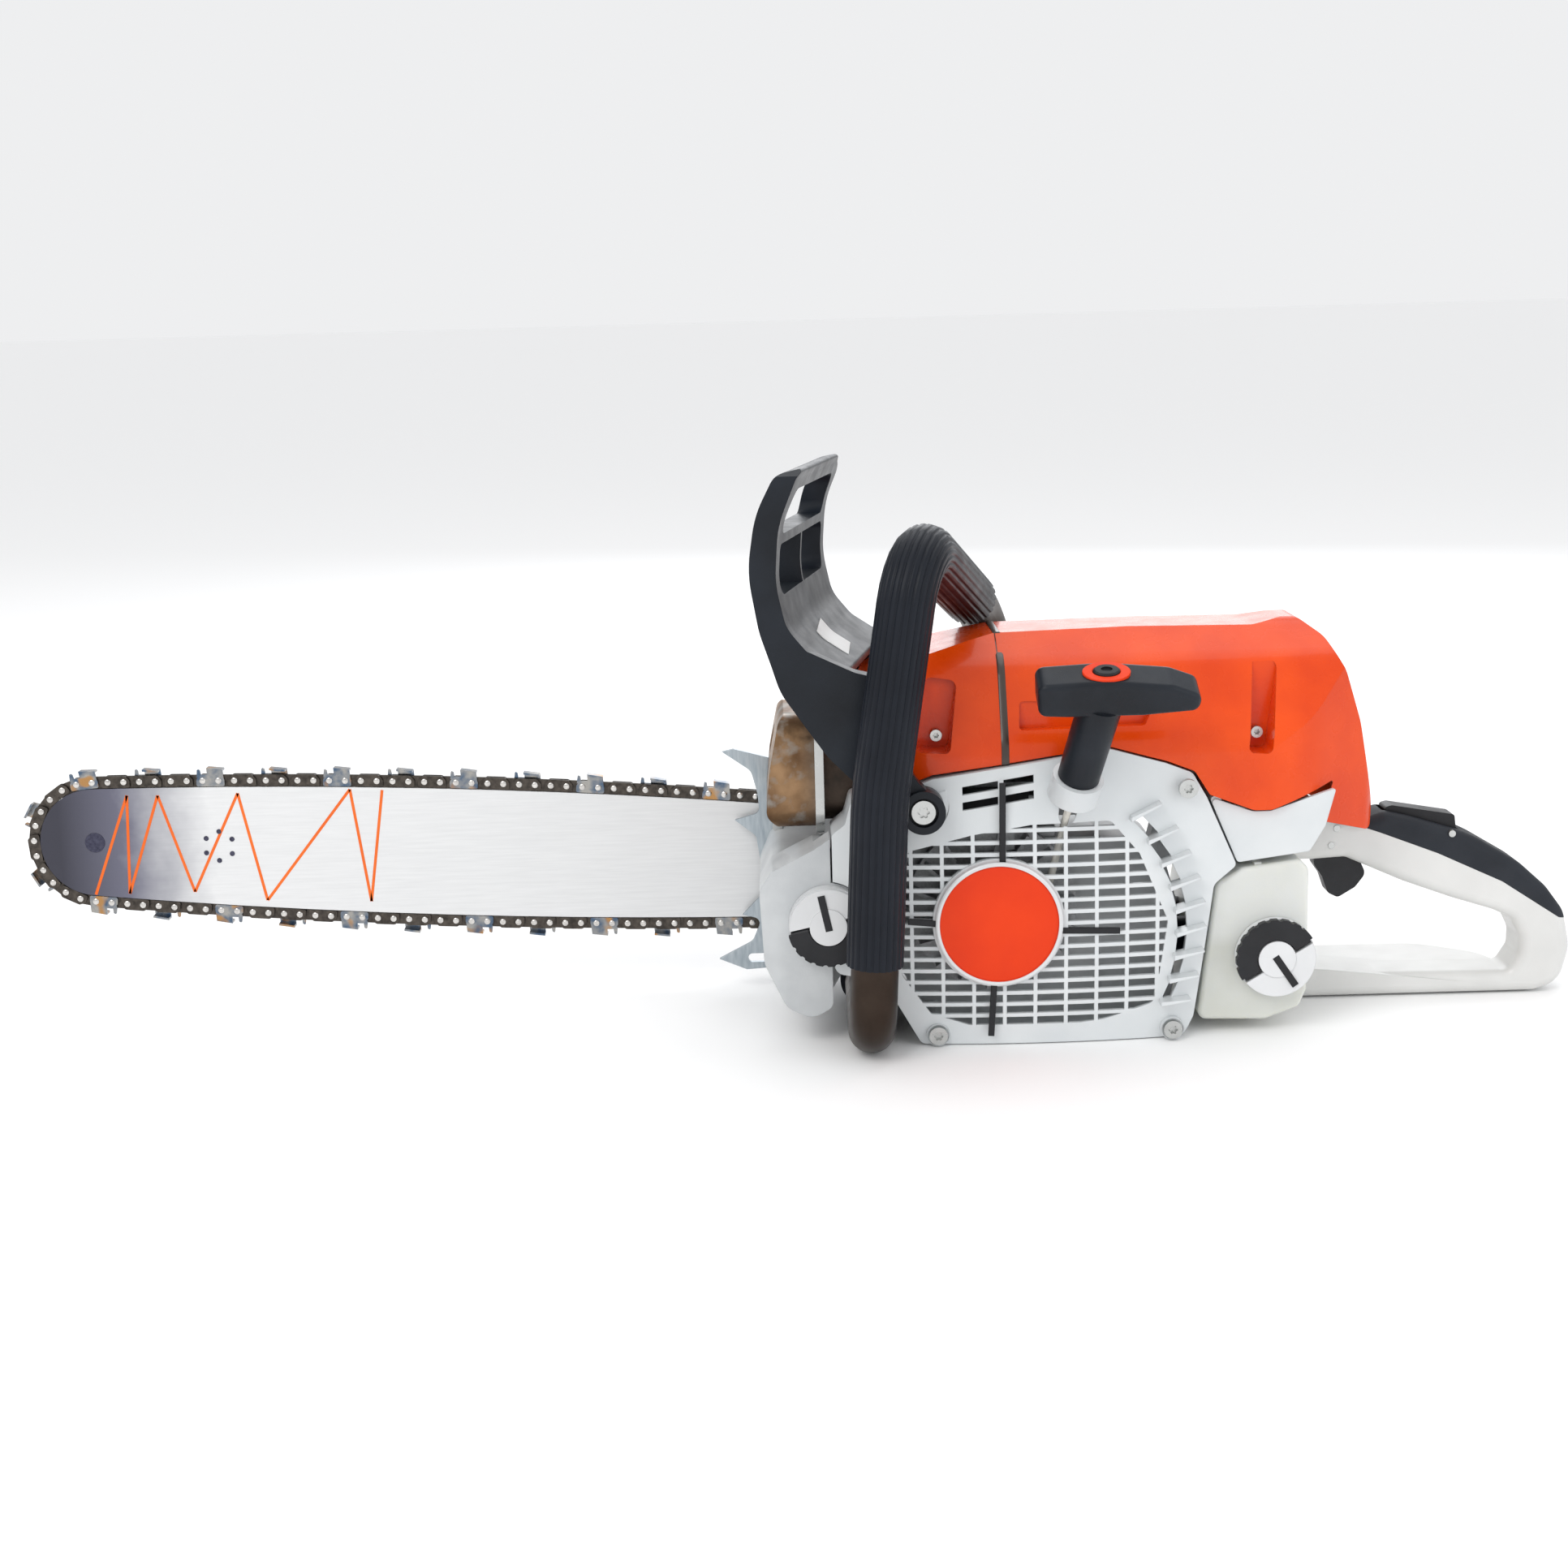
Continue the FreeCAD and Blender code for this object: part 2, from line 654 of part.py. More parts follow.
# ---------------------------------------------------------------- crankcase and engine
pad_y = bar_y - bar_thick / 2
pad_front = -113.0


case_outline = [(-41.0, 0.0), (100.0, 0.0, 5.0), (105.0, 20.0, 5.0), (case_rear, 70.0, 10.0),
                (98.0, 98.0, 8.0), (62.0, deck_z), (-60.0, deck_z), (-84.0, 106.0, 8.0),
                (-124.0, 102.0, 8.0), (case_front, 84.0, 12.0), (-131.0, 50.0, 16.0),
                (-112.0, 17.0, 14.0), (-93.0, 19.0, 10.0), (-86.0, 31.0, 6.0), (-50.0, 31.0, 6.0)]


def crankcase():
    """Magnesium casing: crank chamber, front oil tank, bar pad and left oil lobe."""
    body = slab(case_outline, case_left, case_right)
    lobe = slab([(case_front, 90.0, 10.0), (-125.0, 101.0, 4.0), (-101.0, 113.0, 10.0), (-92.0, 119.0),
                 (-92.0, 22.0, 6.0), (-104.0, 15.5, 10.0), (-118.0, 22.0, 12.0), (-130.0, 48.0, 14.0)],
                -74.0, case_left + 1.0)
    boss = across(oil_cap_at[0], oil_cap_at[1], cap_radius + 1.0, -74.0, case_left + 1.0)
    pad = slab([(pad_front, 94.0, 6.0), (-48.0, 94.0, 10.0), (-48.0, 52.0, 10.0), (pad_front, 54.0, 6.0)],
               case_right - 1.0, pad_y)
    solid = join([body, lobe, boss, pad, slab(ear_outline, ear_y, case_left + 1.0)])
    chamber = across(0, crank_z, web_radius + 1.0, -web_outer - 0.6, web_outer + 0.6)
    cuts = [chamber]
    cuts.append(Part.makeCylinder(spigot_radius, deck_z - crank_z + 1, V(0, 0, crank_z)))
    cuts.append(across(0, crank_z, bearing_outer, -web_outer - 0.5 - bearing_width, web_outer + 0.5 + bearing_width))
    cuts.append(across(0, crank_z, 14.0, -40.0, 40.0))
    # front oil tank, reaching into the left lobe, with its filler
    cuts.append(block(-124.0, -58.0, case_left + 4.0, case_right - 5.0, 36.0, 98.0))
    cuts.append(block(-124.0, -96.0, -70.0, case_left + 5.0, 36.0, 96.0))
    cuts.append(across(oil_cap_at[0], oil_cap_at[1], cap_neck + 0.3, -75.0, -60.0))
    cuts.append(across(oil_cap_at[0], oil_cap_at[1], cap_neck - 2.0, -62.0, case_left + 5.0))
    for x, z in housing_screw_places[:2]:
        cuts.append(across(x, z, screw_shank, case_left - 1, case_left + 16.0))
    x, z = housing_screw_places[2]
    cuts.append(across(x, z, screw_shank, ear_y - 1, case_left + 2.0))
    for x, z in spike_bolt_places:
        cuts.append(across(x, z, 3.0, case_right - 12.0, case_right + 1))
    for reach in stud_reach:
        cuts.append(stud_line(reach, stud_radius))
    for side in (-1, 1):
        cuts.append(Part.makeCylinder(2.5, 16, V(30.0, side * 28.0, deck_z - 15.0)))
        cuts.append(Part.makeCylinder(2.5, 16, V(-30.0, side * 28.0, deck_z - 15.0)))
    cuts.append(tensioner_slot())
    cuts.append(block(-104.0, -90.0, muffler_left - 3.5, case_left + 8.0, muffler_low - 3.0, 130.0))
    return solid.cut(group(cuts))


def stud_line(reach, radius):
    """A stud's axis on the tilted bar line."""
    turn = math.radians(bar_tilt)
    x = -reach * math.cos(turn)
    z = crank_z + reach * math.sin(turn)
    return across(x, z, radius, case_right - 11.0, bar_y + 26.0)


housing_screw_places = ((-34.0, 6.5), (97.0, 6.5), (104.3, 143.9))
ear_y = -50.0
ear_outline = [(86.0, 96.0), (103.5, 96.0), (108.6, 139.0, 3.0), (103.0, 147.6, 3.0), (97.5, 147.6, 4.0)]
screw_shank = 2.4
spigot_radius = 28.5


def bar_studs():
    return group([stud_line(reach, stud_radius) for reach in stud_reach])


def cylinder_block():
    """Aluminium cylinder: bore, cooling fins, exhaust and intake ports, plug seat."""
    top = deck_z + 82.0
    base = Part.makeCylinder(spigot_radius - 0.1, 14.0, V(0, 0, deck_z - 10.0))
    barrel = Part.makeCylinder(33.0, top - deck_z, V(0, 0, deck_z))
    flange = block(-37.0, 37.0, -36.0, 36.0, deck_z, deck_z + 6.0)
    shapes = [base, barrel, flange]
    level = deck_z + 14.0
    fin_pitch = 8.0
    while level < top - 2.0:
        shapes.append(slab([(-50.0, -fin_reach, 14.0), (50.0, -fin_reach, 14.0), (50.0, fin_reach, 14.0), (-50.0, fin_reach, 14.0)],
                           level, level + 2.4, "xy"))
        level += fin_pitch
    exhaust = block(-58.0, -30.0, -20.0, 20.0, deck_z + 16.0, deck_z + 46.0)
    intake = block(30.0, 58.0, -18.0, 18.0, deck_z + 8.0, deck_z + 38.0)
    shapes += [exhaust, intake]
    body = join(shapes)
    radius = cylinder_bore / 2
    cuts = [Part.makeCylinder(radius, crown_top + 5.0 - deck_z + 12.0, V(0, 0, deck_z - 12.0))]
    cuts.append(rod((-70, 0, deck_z + 31.0), (-20, 0, deck_z + 31.0), 11.0))
    cuts.append(rod((20, 0, deck_z + 23.0), (70, 0, deck_z + 23.0), 10.0))
    cuts.append(plug_axis_rod(7.0, -30.0, 12.0))
    cuts.append(plug_axis_rod(13.0, 10.0, 60.0))
    for side in (-1, 1):
        for x in (-30.0, 30.0):
            cuts.append(Part.makeCylinder(2.6, 8, V(x, side * 28.0, deck_z - 1)))
    return body.cut(group(cuts))


crown_height = 14.0
crown_top = crank_z + stroke / 2 + rod_length + crown_height
plug_tilt = 22.0


def plug_axis_rod(radius, low, high):
    """Round bar on the spark plug's axis, measured from the plug's seat."""
    turn = math.radians(plug_tilt)
    seat = V(0, 0, crown_top + 14.0)
    way = V(-math.sin(turn), 0, math.cos(turn))
    return Part.makeCylinder(radius, high - low, seat + way * low, way)


def spark_plug():
    shapes = [plug_axis_rod(6.9, -8.0, 10.2), plug_axis_rod(9.0, 10.2, 16.0), plug_axis_rod(5.2, 16.0, 24.0)]
    return join(shapes)


def plug_boot():
    boot = plug_axis_rod(8.0, 17.0, 27.0)
    boot = boot.cut(plug_axis_rod(5.2, 16.0, 24.0))
    return boot


def piston():
    """Piston with its ring grooves, open below."""
    centre = crank_z + stroke / 2 + rod_length
    radius = cylinder_bore / 2 - run_gap
    body = Part.makeCylinder(radius, crown_height + 17.0, V(0, 0, centre - 17.0))
    inside = Part.makeCylinder(radius - 4.0, crown_height + 17.0 - 4.0, V(0, 0, centre - 18.0))
    boss = across(0, centre, 9.0, -radius + 2.0, radius - 2.0)
    gap = block(-12, 12, -9.0, 9.0, centre - 20.0, centre + crown_height - 5.0)
    body = body.cut(inside)
    body = body.fuse(boss.cut(gap))
    body = body.cut(across(0, centre, 5.5, -radius - 1, radius + 1))
    for level in ring_levels:
        z = centre + level
        groove = Part.makeCylinder(radius + 1, 1.5, V(0, 0, z)).cut(Part.makeCylinder(radius - 2.4, 1.5, V(0, 0, z)))
        body = body.cut(groove)
    return body


ring_levels = (8.0, 4.5)


def piston_rings():
    centre = crank_z + stroke / 2 + rod_length
    radius = cylinder_bore / 2 - run_gap
    rings = []
    for level in ring_levels:
        z = centre + level + 0.1
        ring = Part.makeCylinder(radius, 1.3, V(0, 0, z)).cut(Part.makeCylinder(radius - 2.2, 1.3, V(0, 0, z)))
        rings.append(ring.cut(block(10, 40, -0.3, 0.3, z - 1, z + 2)))
    return group(rings)


def wrist_pin():
    centre = crank_z + stroke / 2 + rod_length
    reach = cylinder_bore / 2 - 3.0
    pin = across(0, centre, 5.5, -reach, reach)
    return pin.cut(across(0, centre, 3.2, -reach - 1, reach + 1))


def connecting_rod():
    """Rod with its two eyes and the crank pin pressed through the lower one."""
    high = crank_z + stroke / 2 + rod_length
    low = crank_z + stroke / 2
    reach = web_inner - web_gap
    shapes = [across(0, high, 8.4, -5.0, 5.0), across(0, low, 11.0, -reach, reach)]
    shapes.append(block(-4.5, 4.5, -4.0, 4.0, low + 6.0, high - 6.0))
    body = join(shapes)
    body = body.cut(across(0, high, 5.5, -6, 6))
    return body.cut(across(0, low, crank_pin_radius, -reach - 1, reach + 1))


def crank_pin():
    reach = web_inner - web_gap
    return across(0, crank_z + stroke / 2, crank_pin_radius, -reach, reach)


# ---------------------------------------------------------------- exhaust
muffler_front = -128.0
muffler_split = -97.0
muffler_low = 116.0
muffler_top = 184.0
muffler_left = -50.0
muffler_right = 34.0
muffler_rear_left = -36.0     # rear half, clear of the fan housing


def muffler_half(x0, x1, y0, y1, inset, pinch):
    """Pressed can half with rounded sides, cut to its outline from the side."""
    low = muffler_low + inset
    high = muffler_top - inset
    can = slab([(y0, low, 14.0), (y1, low, 14.0), (y1, high, 16.0), (y0, high, 16.0)], x0, x1, "yz")
    return can.common(slab(pinch, y0 - 1, y1 + 1))


def muffler_front_half():
    shape = [(muffler_split, muffler_low), (-118.0, muffler_low, 10.0), (-127.0, muffler_low + 10.0, 10.0),
             (-124.5, muffler_top - 32.0, 30.0), (-118.0, muffler_top, 10.0), (muffler_split, muffler_top)]
    outer = muffler_half(muffler_front, muffler_split, muffler_left + 2, muffler_right - 2, 2.0, shape)
    inner = block(-116.0, muffler_split + 1, muffler_left + 8, muffler_right - 8, muffler_low + 8, muffler_top - 8)
    outlet = rod((-140.0, 12.0, muffler_low + 44.0), (-110.0, 12.0, muffler_low + 44.0), 9.0)
    return outer.cut(inner).cut(outlet)


def muffler_rear_half():
    shape = [(muffler_split, muffler_low), (-84.0, muffler_low, 6.0), (-72.0, muffler_low + 20.0, 10.0),
             (-70.0, muffler_top - 20.0, 10.0), (-84.0, muffler_top, 8.0), (muffler_split, muffler_top)]
    outer = muffler_half(muffler_split, -58.0, muffler_rear_left, muffler_right - 3, 3.0, shape)
    inner = block(muffler_split - 1, -78.0, muffler_rear_left + 6, muffler_right - 10, muffler_low + 10, muffler_top - 10)
    neck = block(-72.0, -58.0, -17.0, 17.0, deck_z + 19.0, deck_z + 43.0)
    port = rod((-90.0, 0, deck_z + 31.0), (-50.0, 0, deck_z + 31.0), 10.0)
    return outer.fuse(neck).cut(inner).cut(port)


def muffler_seam():
    """Folded rim that clamps the two pressings."""
    ring = slab([(muffler_left - 1.5, muffler_low - 1.5, 15.0), (muffler_right + 1.5, muffler_low - 1.5, 15.0),
                 (muffler_right + 1.5, muffler_top + 1.5, 17.0), (muffler_left - 1.5, muffler_top + 1.5, 17.0)],
                muffler_split - 2.0, muffler_split + 3.0, "yz")
    hole = slab([(muffler_left + 2, muffler_low + 2, 12.0), (muffler_right - 2, muffler_low + 2, 12.0),
                 (muffler_right - 2, muffler_top - 2, 14.0), (muffler_left + 2, muffler_top - 2, 14.0)],
                muffler_split - 3.0, muffler_split + 4.0, "yz")
    cores = muffler_front_half().fuse(muffler_rear_half())
    return ring.cut(hole.fuse(cores))


# ---------------------------------------------------------------- starter side
fan_outline = [(-91.0, 121.0, 3.0), (-91.0, 42.0, 6.0), (-64.0, 38.0, 10.0), (-43.0, 0.5, 5.0), (104.0, 0.5, 6.0),
               (109.5, 12.0, 6.0), (120.0, 88.0, 6.0), (133.0, 98.0, 3.0), (116.0, 137.0, 4.0),
               (108.0, 151.0, 6.0), (93.0, 157.0, 8.0), (62.0, 166.0, 10.0), (31.0, 161.5, 20.0),
               (-35.0, 152.0, 10.0), (-62.0, 141.0, 8.0), (-80.0, 139.5, 3.0), (-83.5, 127.0, 3.0)]
fan_inside = [(-88.0, 119.0, 3.0), (-88.0, 45.0, 5.0), (-62.0, 41.0, 10.0), (-41.0, 3.5, 4.0), (101.0, 3.5, 5.0),
              (106.5, 13.0, 5.0), (117.0, 88.0, 5.0), (129.0, 98.0, 3.0), (113.5, 135.0, 3.0),
              (106.0, 148.0, 5.0), (92.0, 154.0, 7.0), (62.0, 163.0, 9.0), (31.0, 158.5, 18.0),
              (-35.0, 149.0, 9.0), (-61.0, 138.0, 7.0), (-77.5, 136.5, 2.0), (-81.0, 125.0, 2.0)]
grille_outline = [(-50.0, 112.0, 4.0), (-14.0, 121.0), (18.0, 126.0), (62.0, 127.0, 5.0), (78.0, 108.0),
                  (94.0, 69.0, 6.0), (87.0, 22.0, 6.0), (59.0, 13.5), (24.0, 9.5), (-12.0, 10.5), (-38.0, 19.0),
                  (-54.0, 42.0, 6.0)]
rope_seat = (42.0, -92.0, 151.0)
rope_way = V(0.17, -0.47, 0.866)
rope_radius = 2.0
axle_radius = 5.0


def dome(radius):
    """Everything behind the housing's slightly domed face."""
    centre = V(20.0, fan_face + dome_radius, crank_z)
    return Part.makeSphere(radius, centre)


def grille_slots():
    """Rows of slots between upright ribs, inside the grille's border and clear of the badge."""
    slots = []
    rows = 19
    columns = 15
    for row in range(rows):
        z = 12.0 + row * slot_pitch
        for column in range(columns):
            x0 = -66.0 + column * rib_pitch + rib_width
            slots.append(block(x0, x0 + rib_pitch - rib_width, fan_face - 8, fan_face + 14, z, z + slot_height))
    field = slab(grille_outline, fan_face - 7, fan_face + 13)
    field = field.cut(across(0, crank_z, badge_radius + 3.0, fan_face - 8, fan_face + 14))
    return group(slots).common(field)


vent_middle = 64.0
vent_bulge = 99.5
vent_foot = 22.5
vent_fins = 9
vent_step = 13.2
vent_width = 5.2
fin_length = 16.5


def vent_edge(z):
    """Front edge of the side vents, bowed rearwards, at a height."""
    if z > vent_middle:
        return vent_bulge - 24.5 * ((z - vent_middle) / 63.0) ** 2
    return vent_bulge - 8.5 * ((vent_middle - z) / 42.0) ** 2


def vent_rise(z):
    """How far a fin climbs over its length: steeper towards the top."""
    return 2.0 + 7.0 * (z - vent_foot) / (vent_fins * vent_step)


def side_vents():
    """Windows that follow the housing's rear edge, one between each two fins."""
    vents = []
    for k in range(vent_fins - 1):
        low = vent_foot + k * vent_step
        high = low + vent_step
        x0 = vent_edge(low)
        x1 = vent_edge(high)
        lift = vent_rise(low) * vent_width / fin_length
        points = [(x0, low + 1.4, 0.8), (x0 + vent_width, low + 1.4 + lift, 0.8),
                  (x1 + vent_width, high - 1.4 + lift, 0.8), (x1, high - 1.4, 0.8)]
        vents.append(slab(points, fan_face - 6, fan_face + 14))
    return vents


def side_fins():
    """Raised fins between the side vents, tapering to their rear tips."""
    fins = []
    for k in range(vent_fins):
        z = vent_foot + k * vent_step
        x = vent_edge(z) - 1.5
        rise = vent_rise(z)
        points = [(x, z - 1.3), (x + fin_length, z + rise - 0.5), (x + fin_length, z + rise + 0.5), (x, z + 1.3)]
        fins.append(slab(points, fan_face - 1.6, fan_face + 9.5))
    return fins


def fan_housing():
    """Starter cover: a domed shell with grille, rope socket, spring seat and axle post."""
    outer = slab(fan_outline, fan_face - 1.0, fan_open).common(dome(dome_radius))
    inner = slab(fan_inside, fan_face - 2.0, fan_open + 1.0).common(dome(dome_radius - fan_wall))
    top_slots = []
    for level in (134.5, 143.0):
        slot = slab([(-19.0, level), (20.0, level + 6.0), (20.0, level + 10.5), (-19.0, level + 4.5)],
                    fan_face - 2, fan_face + 14)
        top_slots.append(slot.cut(block(0.5, 3.5, fan_face - 3, fan_face + 15, 100, 180)))
    shell = outer.cut(inner)
    shell = shell.cut(group([grille_slots()] + top_slots + side_vents()))
    badge_seat = across(0, crank_z, badge_radius + 3.0, fan_face + 0.4, fan_face + 5.0)
    post = across(0, crank_z, axle_radius, fan_face + 1.0, pulley_y[1] + 0.6)
    seat = V(*rope_seat)
    socket = Part.makeCylinder(14.0, 14.0, seat - rope_way * 10.0, rope_way)
    socket = socket.common(block(0, 90, -120, fan_face + 14.0, 100, 190))
    towers = [across(x, z, 6.5, fan_face + 4.0, fan_open) for x, z in housing_screw_places[:2]]
    x, z = housing_screw_places[2]
    towers.append(across(x, z, 6.5, fan_face + 1.5, ear_y).common(outer))
    adds = [badge_seat, post, socket] + towers + side_fins()
    body = shell.fuse(adds)
    cup = Part.makeCylinder(11.0, 12.0, seat - rope_way * 6.0, rope_way)
    bush = Part.makeCylinder(5.0, 60.0, seat - rope_way * 40.0, rope_way).common(block(0, 90, -120, -60, 100, 190))
    recess = across(guard_axis[0], guard_axis[1], 15.0, fan_face - 6.0, guard_seat_y)
    swing = slab([(-100.0, 122.0), (-52.0, 122.0), (-52.0, 170.0), (-100.0, 170.0)], fan_face - 6, guard_seat_y)
    cap_clear = across(oil_cap_at[0], oil_cap_at[1], cap_radius + 2.0, fan_face - 2, fan_open + 1)
    cuts = [cup, bush, recess, swing, cap_clear]
    cuts.append(across(guard_axis[0], guard_axis[1], guard_pin_radius, fan_face - 6, fan_open + 1))
    for x, z in housing_screw_places:
        cuts.append(across(x, z, screw_shank, fan_face - 2, fan_open + 1))
        cuts.append(across(x, z, 6.0, fan_face - 3, screw_head_y + 3.6))
    cuts.append(across(0, crank_z, badge_radius + 0.2, fan_face - 3, fan_face + 0.4))
    body = body.cut(group(cuts))
    back_plate = slab([(-60.0, 128.0), (-28.0, 128.0), (-28.0, 146.0), (-60.0, 138.0)], guard_seat_y, guard_seat_y + 3.0)
    back_plate = back_plate.cut(across(guard_axis[0], guard_axis[1], guard_pin_radius, fan_face - 6, fan_open + 1))
    return body.fuse(back_plate).removeSplitter()


guard_seat_y = -80.5
screw_head_y = -84.5


def badge():
    """Plain round badge in the middle of the grille, with a thin raised rim."""
    disc = across(0, crank_z, badge_radius - 1.0, fan_face - 2.2, fan_face + 0.4)
    rim = across(0, crank_z, badge_radius, fan_face - 2.6, fan_face + 0.4)
    rim = rim.cut(across(0, crank_z, badge_radius - 1.0, fan_face - 3, fan_face + 1))
    return rim.fuse(disc)


def housing_screws():
    ends = (case_left + 14.0, case_left + 14.0, case_left - 3.0)
    return group([screw(place[0], place[1], screw_head_y, end, 5.2, 3.4, screw_shank)
                  for place, end in zip(housing_screw_places, ends)])


def starter_rotor():
    """Rope pulley with the cup that the pawls catch, turning on the housing's post."""
    y0, y1 = pulley_y
    wheel = across(0, crank_z, pulley_radius, y0, y1)
    groove = across(0, crank_z, pulley_radius + 1, y0 + 2.5, y1 - 2.5).cut(
        across(0, crank_z, pulley_groove_radius, y0 + 2.0, y1 - 2.0))
    cup = across(0, crank_z, 26.0, y1 - 0.1, y1 + 2.0).cut(across(0, crank_z, 23.0, y1 - 1, y1 + 3))
    wheel = wheel.cut(groove).fuse(cup)
    bore = across(0, crank_z, axle_radius + run_gap, y0 - 1, y1 + 3)
    lighten = []
    for k in range(6):
        turn = math.radians(60 * k)
        lighten.append(across(15.0 * math.cos(turn), crank_z + 15.0 * math.sin(turn), 4.0, y0 - 1, y1 + 3))
    return wheel.cut(group([bore] + lighten))


def rewind_spring():
    """Flat spring wound beside the pulley, drawn as half turns of growing radius."""
    y0, y1 = fan_face + 5.4, pulley_y[0] - 0.5
    strip = 0.5
    step = 1.9
    half_turns = 18
    start = 8.0
    sides = []
    for offset in (strip / 2, -strip / 2):
        arcs = []
        for k in range(half_turns):
            radius = start + step * k / 2
            centre = step / 4 if k % 2 else -step / 4
            up = 1 if k % 2 else -1
            left = V(centre - radius - offset, 0, 0)
            right = V(centre + radius + offset, 0, 0)
            top = V(centre, 0, up * (radius + offset))
            arcs.append(Part.Arc(right if k % 2 == 0 else left, top, left if k % 2 == 0 else right).toShape())
        sides.append(arcs)
    ends = [Part.LineSegment(sides[0][0].Vertexes[0].Point, sides[1][0].Vertexes[0].Point).toShape(),
            Part.LineSegment(sides[0][-1].Vertexes[1].Point, sides[1][-1].Vertexes[1].Point).toShape()]
    wire = Part.Wire(Part.__sortEdges__(sides[0] + sides[1] + ends))
    spring = Part.Face(wire).extrude(V(0, y1 - y0, 0))
    spring.translate(V(0, y0, crank_z))
    return spring


def starter_rope():
    """The rope's run from the pulley to the bushing in the housing."""
    seat = V(*rope_seat)
    top = seat + rope_way * 4.0
    low = V(pulley_groove_radius + rope_radius, (pulley_y[0] + pulley_y[1]) / 2, crank_z + 4.0)
    knee = seat - rope_way * 30.0
    run = Part.makeCylinder(rope_radius, (knee - low).Length, low, knee - low)
    exit_run = Part.makeCylinder(rope_radius, (top - knee).Length, knee, top - knee)
    run = join([run, exit_run, Part.makeSphere(rope_radius, knee)])
    return run.cut(across(0, crank_z, pulley_radius + 0.6, -90, -60))


grip_stem = 57.0
grip_tilt = 28.0


def starter_grip():
    """Pull handle: a stem seated in the housing and a cross bar that is thinner at its rear end."""
    seat = V(*rope_seat)
    stem = Part.makeCone(9.2, 8.4, grip_stem, seat - rope_way * 1.5, rope_way)
    foot = Part.makeCylinder(10.2, 8.4, seat - rope_way * 5.9, rope_way)
    collar = Part.makeCone(11.4, 11.8, grip_stem - 6.0, seat + rope_way * 4.6, rope_way)
    top = seat + rope_way * (grip_stem + 6.0)
    bar = slab([(-35.0, -9.0, 5.0), (-36.5, 11.0, 5.0), (0.0, 13.0, 20.0), (34.0, 9.0, 12.0), (50.0, 2.0, 6.0),
                (49.0, -7.5, 5.0), (20.0, -10.0, 20.0), (-20.0, -10.0, 20.0)], -10.0, 10.0)
    rims = [e for e in bar.Edges if abs(e.CenterOfMass.y) > 9.9]
    bar = bar.makeFillet(3.0, rims)
    bar.rotate(V(0, 0, 0), V(1, 0, 0), grip_tilt)
    bar.translate(top)
    hole = Part.makeCylinder(rope_radius + 0.2, 16.0, seat - rope_way * 7.0, rope_way)
    return join([stem, foot, collar, bar]).cut(hole)


def ignition_module():
    """Coil block on two legs beside the flywheel's rim."""
    y0, y1 = flywheel_y[0] + 4.0, flywheel_y[1]
    gap = 0.4
    foot = crank_z + flywheel_radius + gap
    block_part = block(-20.0, 20.0, y0, y1, foot + 5.0, foot + 19.0)
    legs = [block(-20.0, -10.0, y0 + 3, y1 - 3, foot, foot + 6), block(10.0, 20.0, y0 + 3, y1 - 3, foot, foot + 6)]
    posts = [block(x - 4.0, x + 4.0, y1 - 1.0, -fin_reach, foot + 8.0, foot + 16.0) for x in (-15.0, 15.0)]
    ring = across(0, crank_z, flywheel_radius + gap, y0 - 1, y1 + 1)
    return join([block_part] + legs + posts).cut(ring)


# ---------------------------------------------------------------- caps
cap_flange = 5.0
bail_gap = 0.4
bail_thick = 4.0
bail_pin = 1.2


def cap_body(at, seat, lean):
    """Filler cap: neck, flange, half ring and raised centre disc; lean turns the half ring."""
    neck = across(0, 0, cap_neck, seat, seat + 9.0)
    flange = across(0, 0, cap_radius, seat - cap_flange, seat)
    low = seat - cap_flange
    ring = across(0, 0, cap_radius - 0.5, low - bail_thick - bail_gap, low)
    ring = ring.cut(block(-30, 30, low - 10, low + 1, -30, bail_thick / 2 + 0.6))
    disc = across(0, 0, 10.4, low - bail_thick - bail_gap - 0.6, low)
    mid = low - bail_gap - bail_thick / 2
    for side in (-1, 1):
        disc = disc.cut(rod((side * 8.6, mid, 0), (side * 11.0, mid, 0), bail_pin + run_gap))
    body = join([neck, flange, ring, disc])
    body.rotate(V(0, 0, 0), V(0, 1, 0), lean)
    body.translate(V(at[0], 0, at[1]))
    return body


def cap_bail(at, seat, lean):
    """Folding half-ring grip that lies flat on the cap and swings up to turn it."""
    low = seat - cap_flange - bail_gap
    ring = across(0, 0, cap_radius + 0.6, low - bail_thick, low).cut(across(0, 0, 11.0, low - 10, low + 1))
    ring = ring.common(block(-30, 30, low - 10, low + 1, -30, 0))
    notches = []
    for k in range(9):
        turn = math.radians(200.0 + 17.5 * k)
        notches.append(across((cap_radius + 1.4) * math.cos(turn), (cap_radius + 1.4) * math.sin(turn), 1.7,
                              low - 10, low + 1))
    ring = ring.cut(group(notches))
    mid = low - bail_thick / 2
    knuckles = []
    for side in (-1, 1):
        knuckles.append(rod((side * 11.3, mid, 0), (side * 21.0, mid, 0), bail_thick / 2))
        knuckles.append(rod((side * 8.9, mid, 0), (side * 12.5, mid, 0), bail_pin))
    ring = join([ring] + knuckles)
    ring.rotate(V(0, 0, 0), V(0, 1, 0), lean)
    ring.translate(V(at[0], 0, at[1]))
    return ring


oil_cap_seat = -74.3
fuel_cap_seat = tank_left - 0.3
oil_cap_lean = -12.0
fuel_cap_lean = 149.0


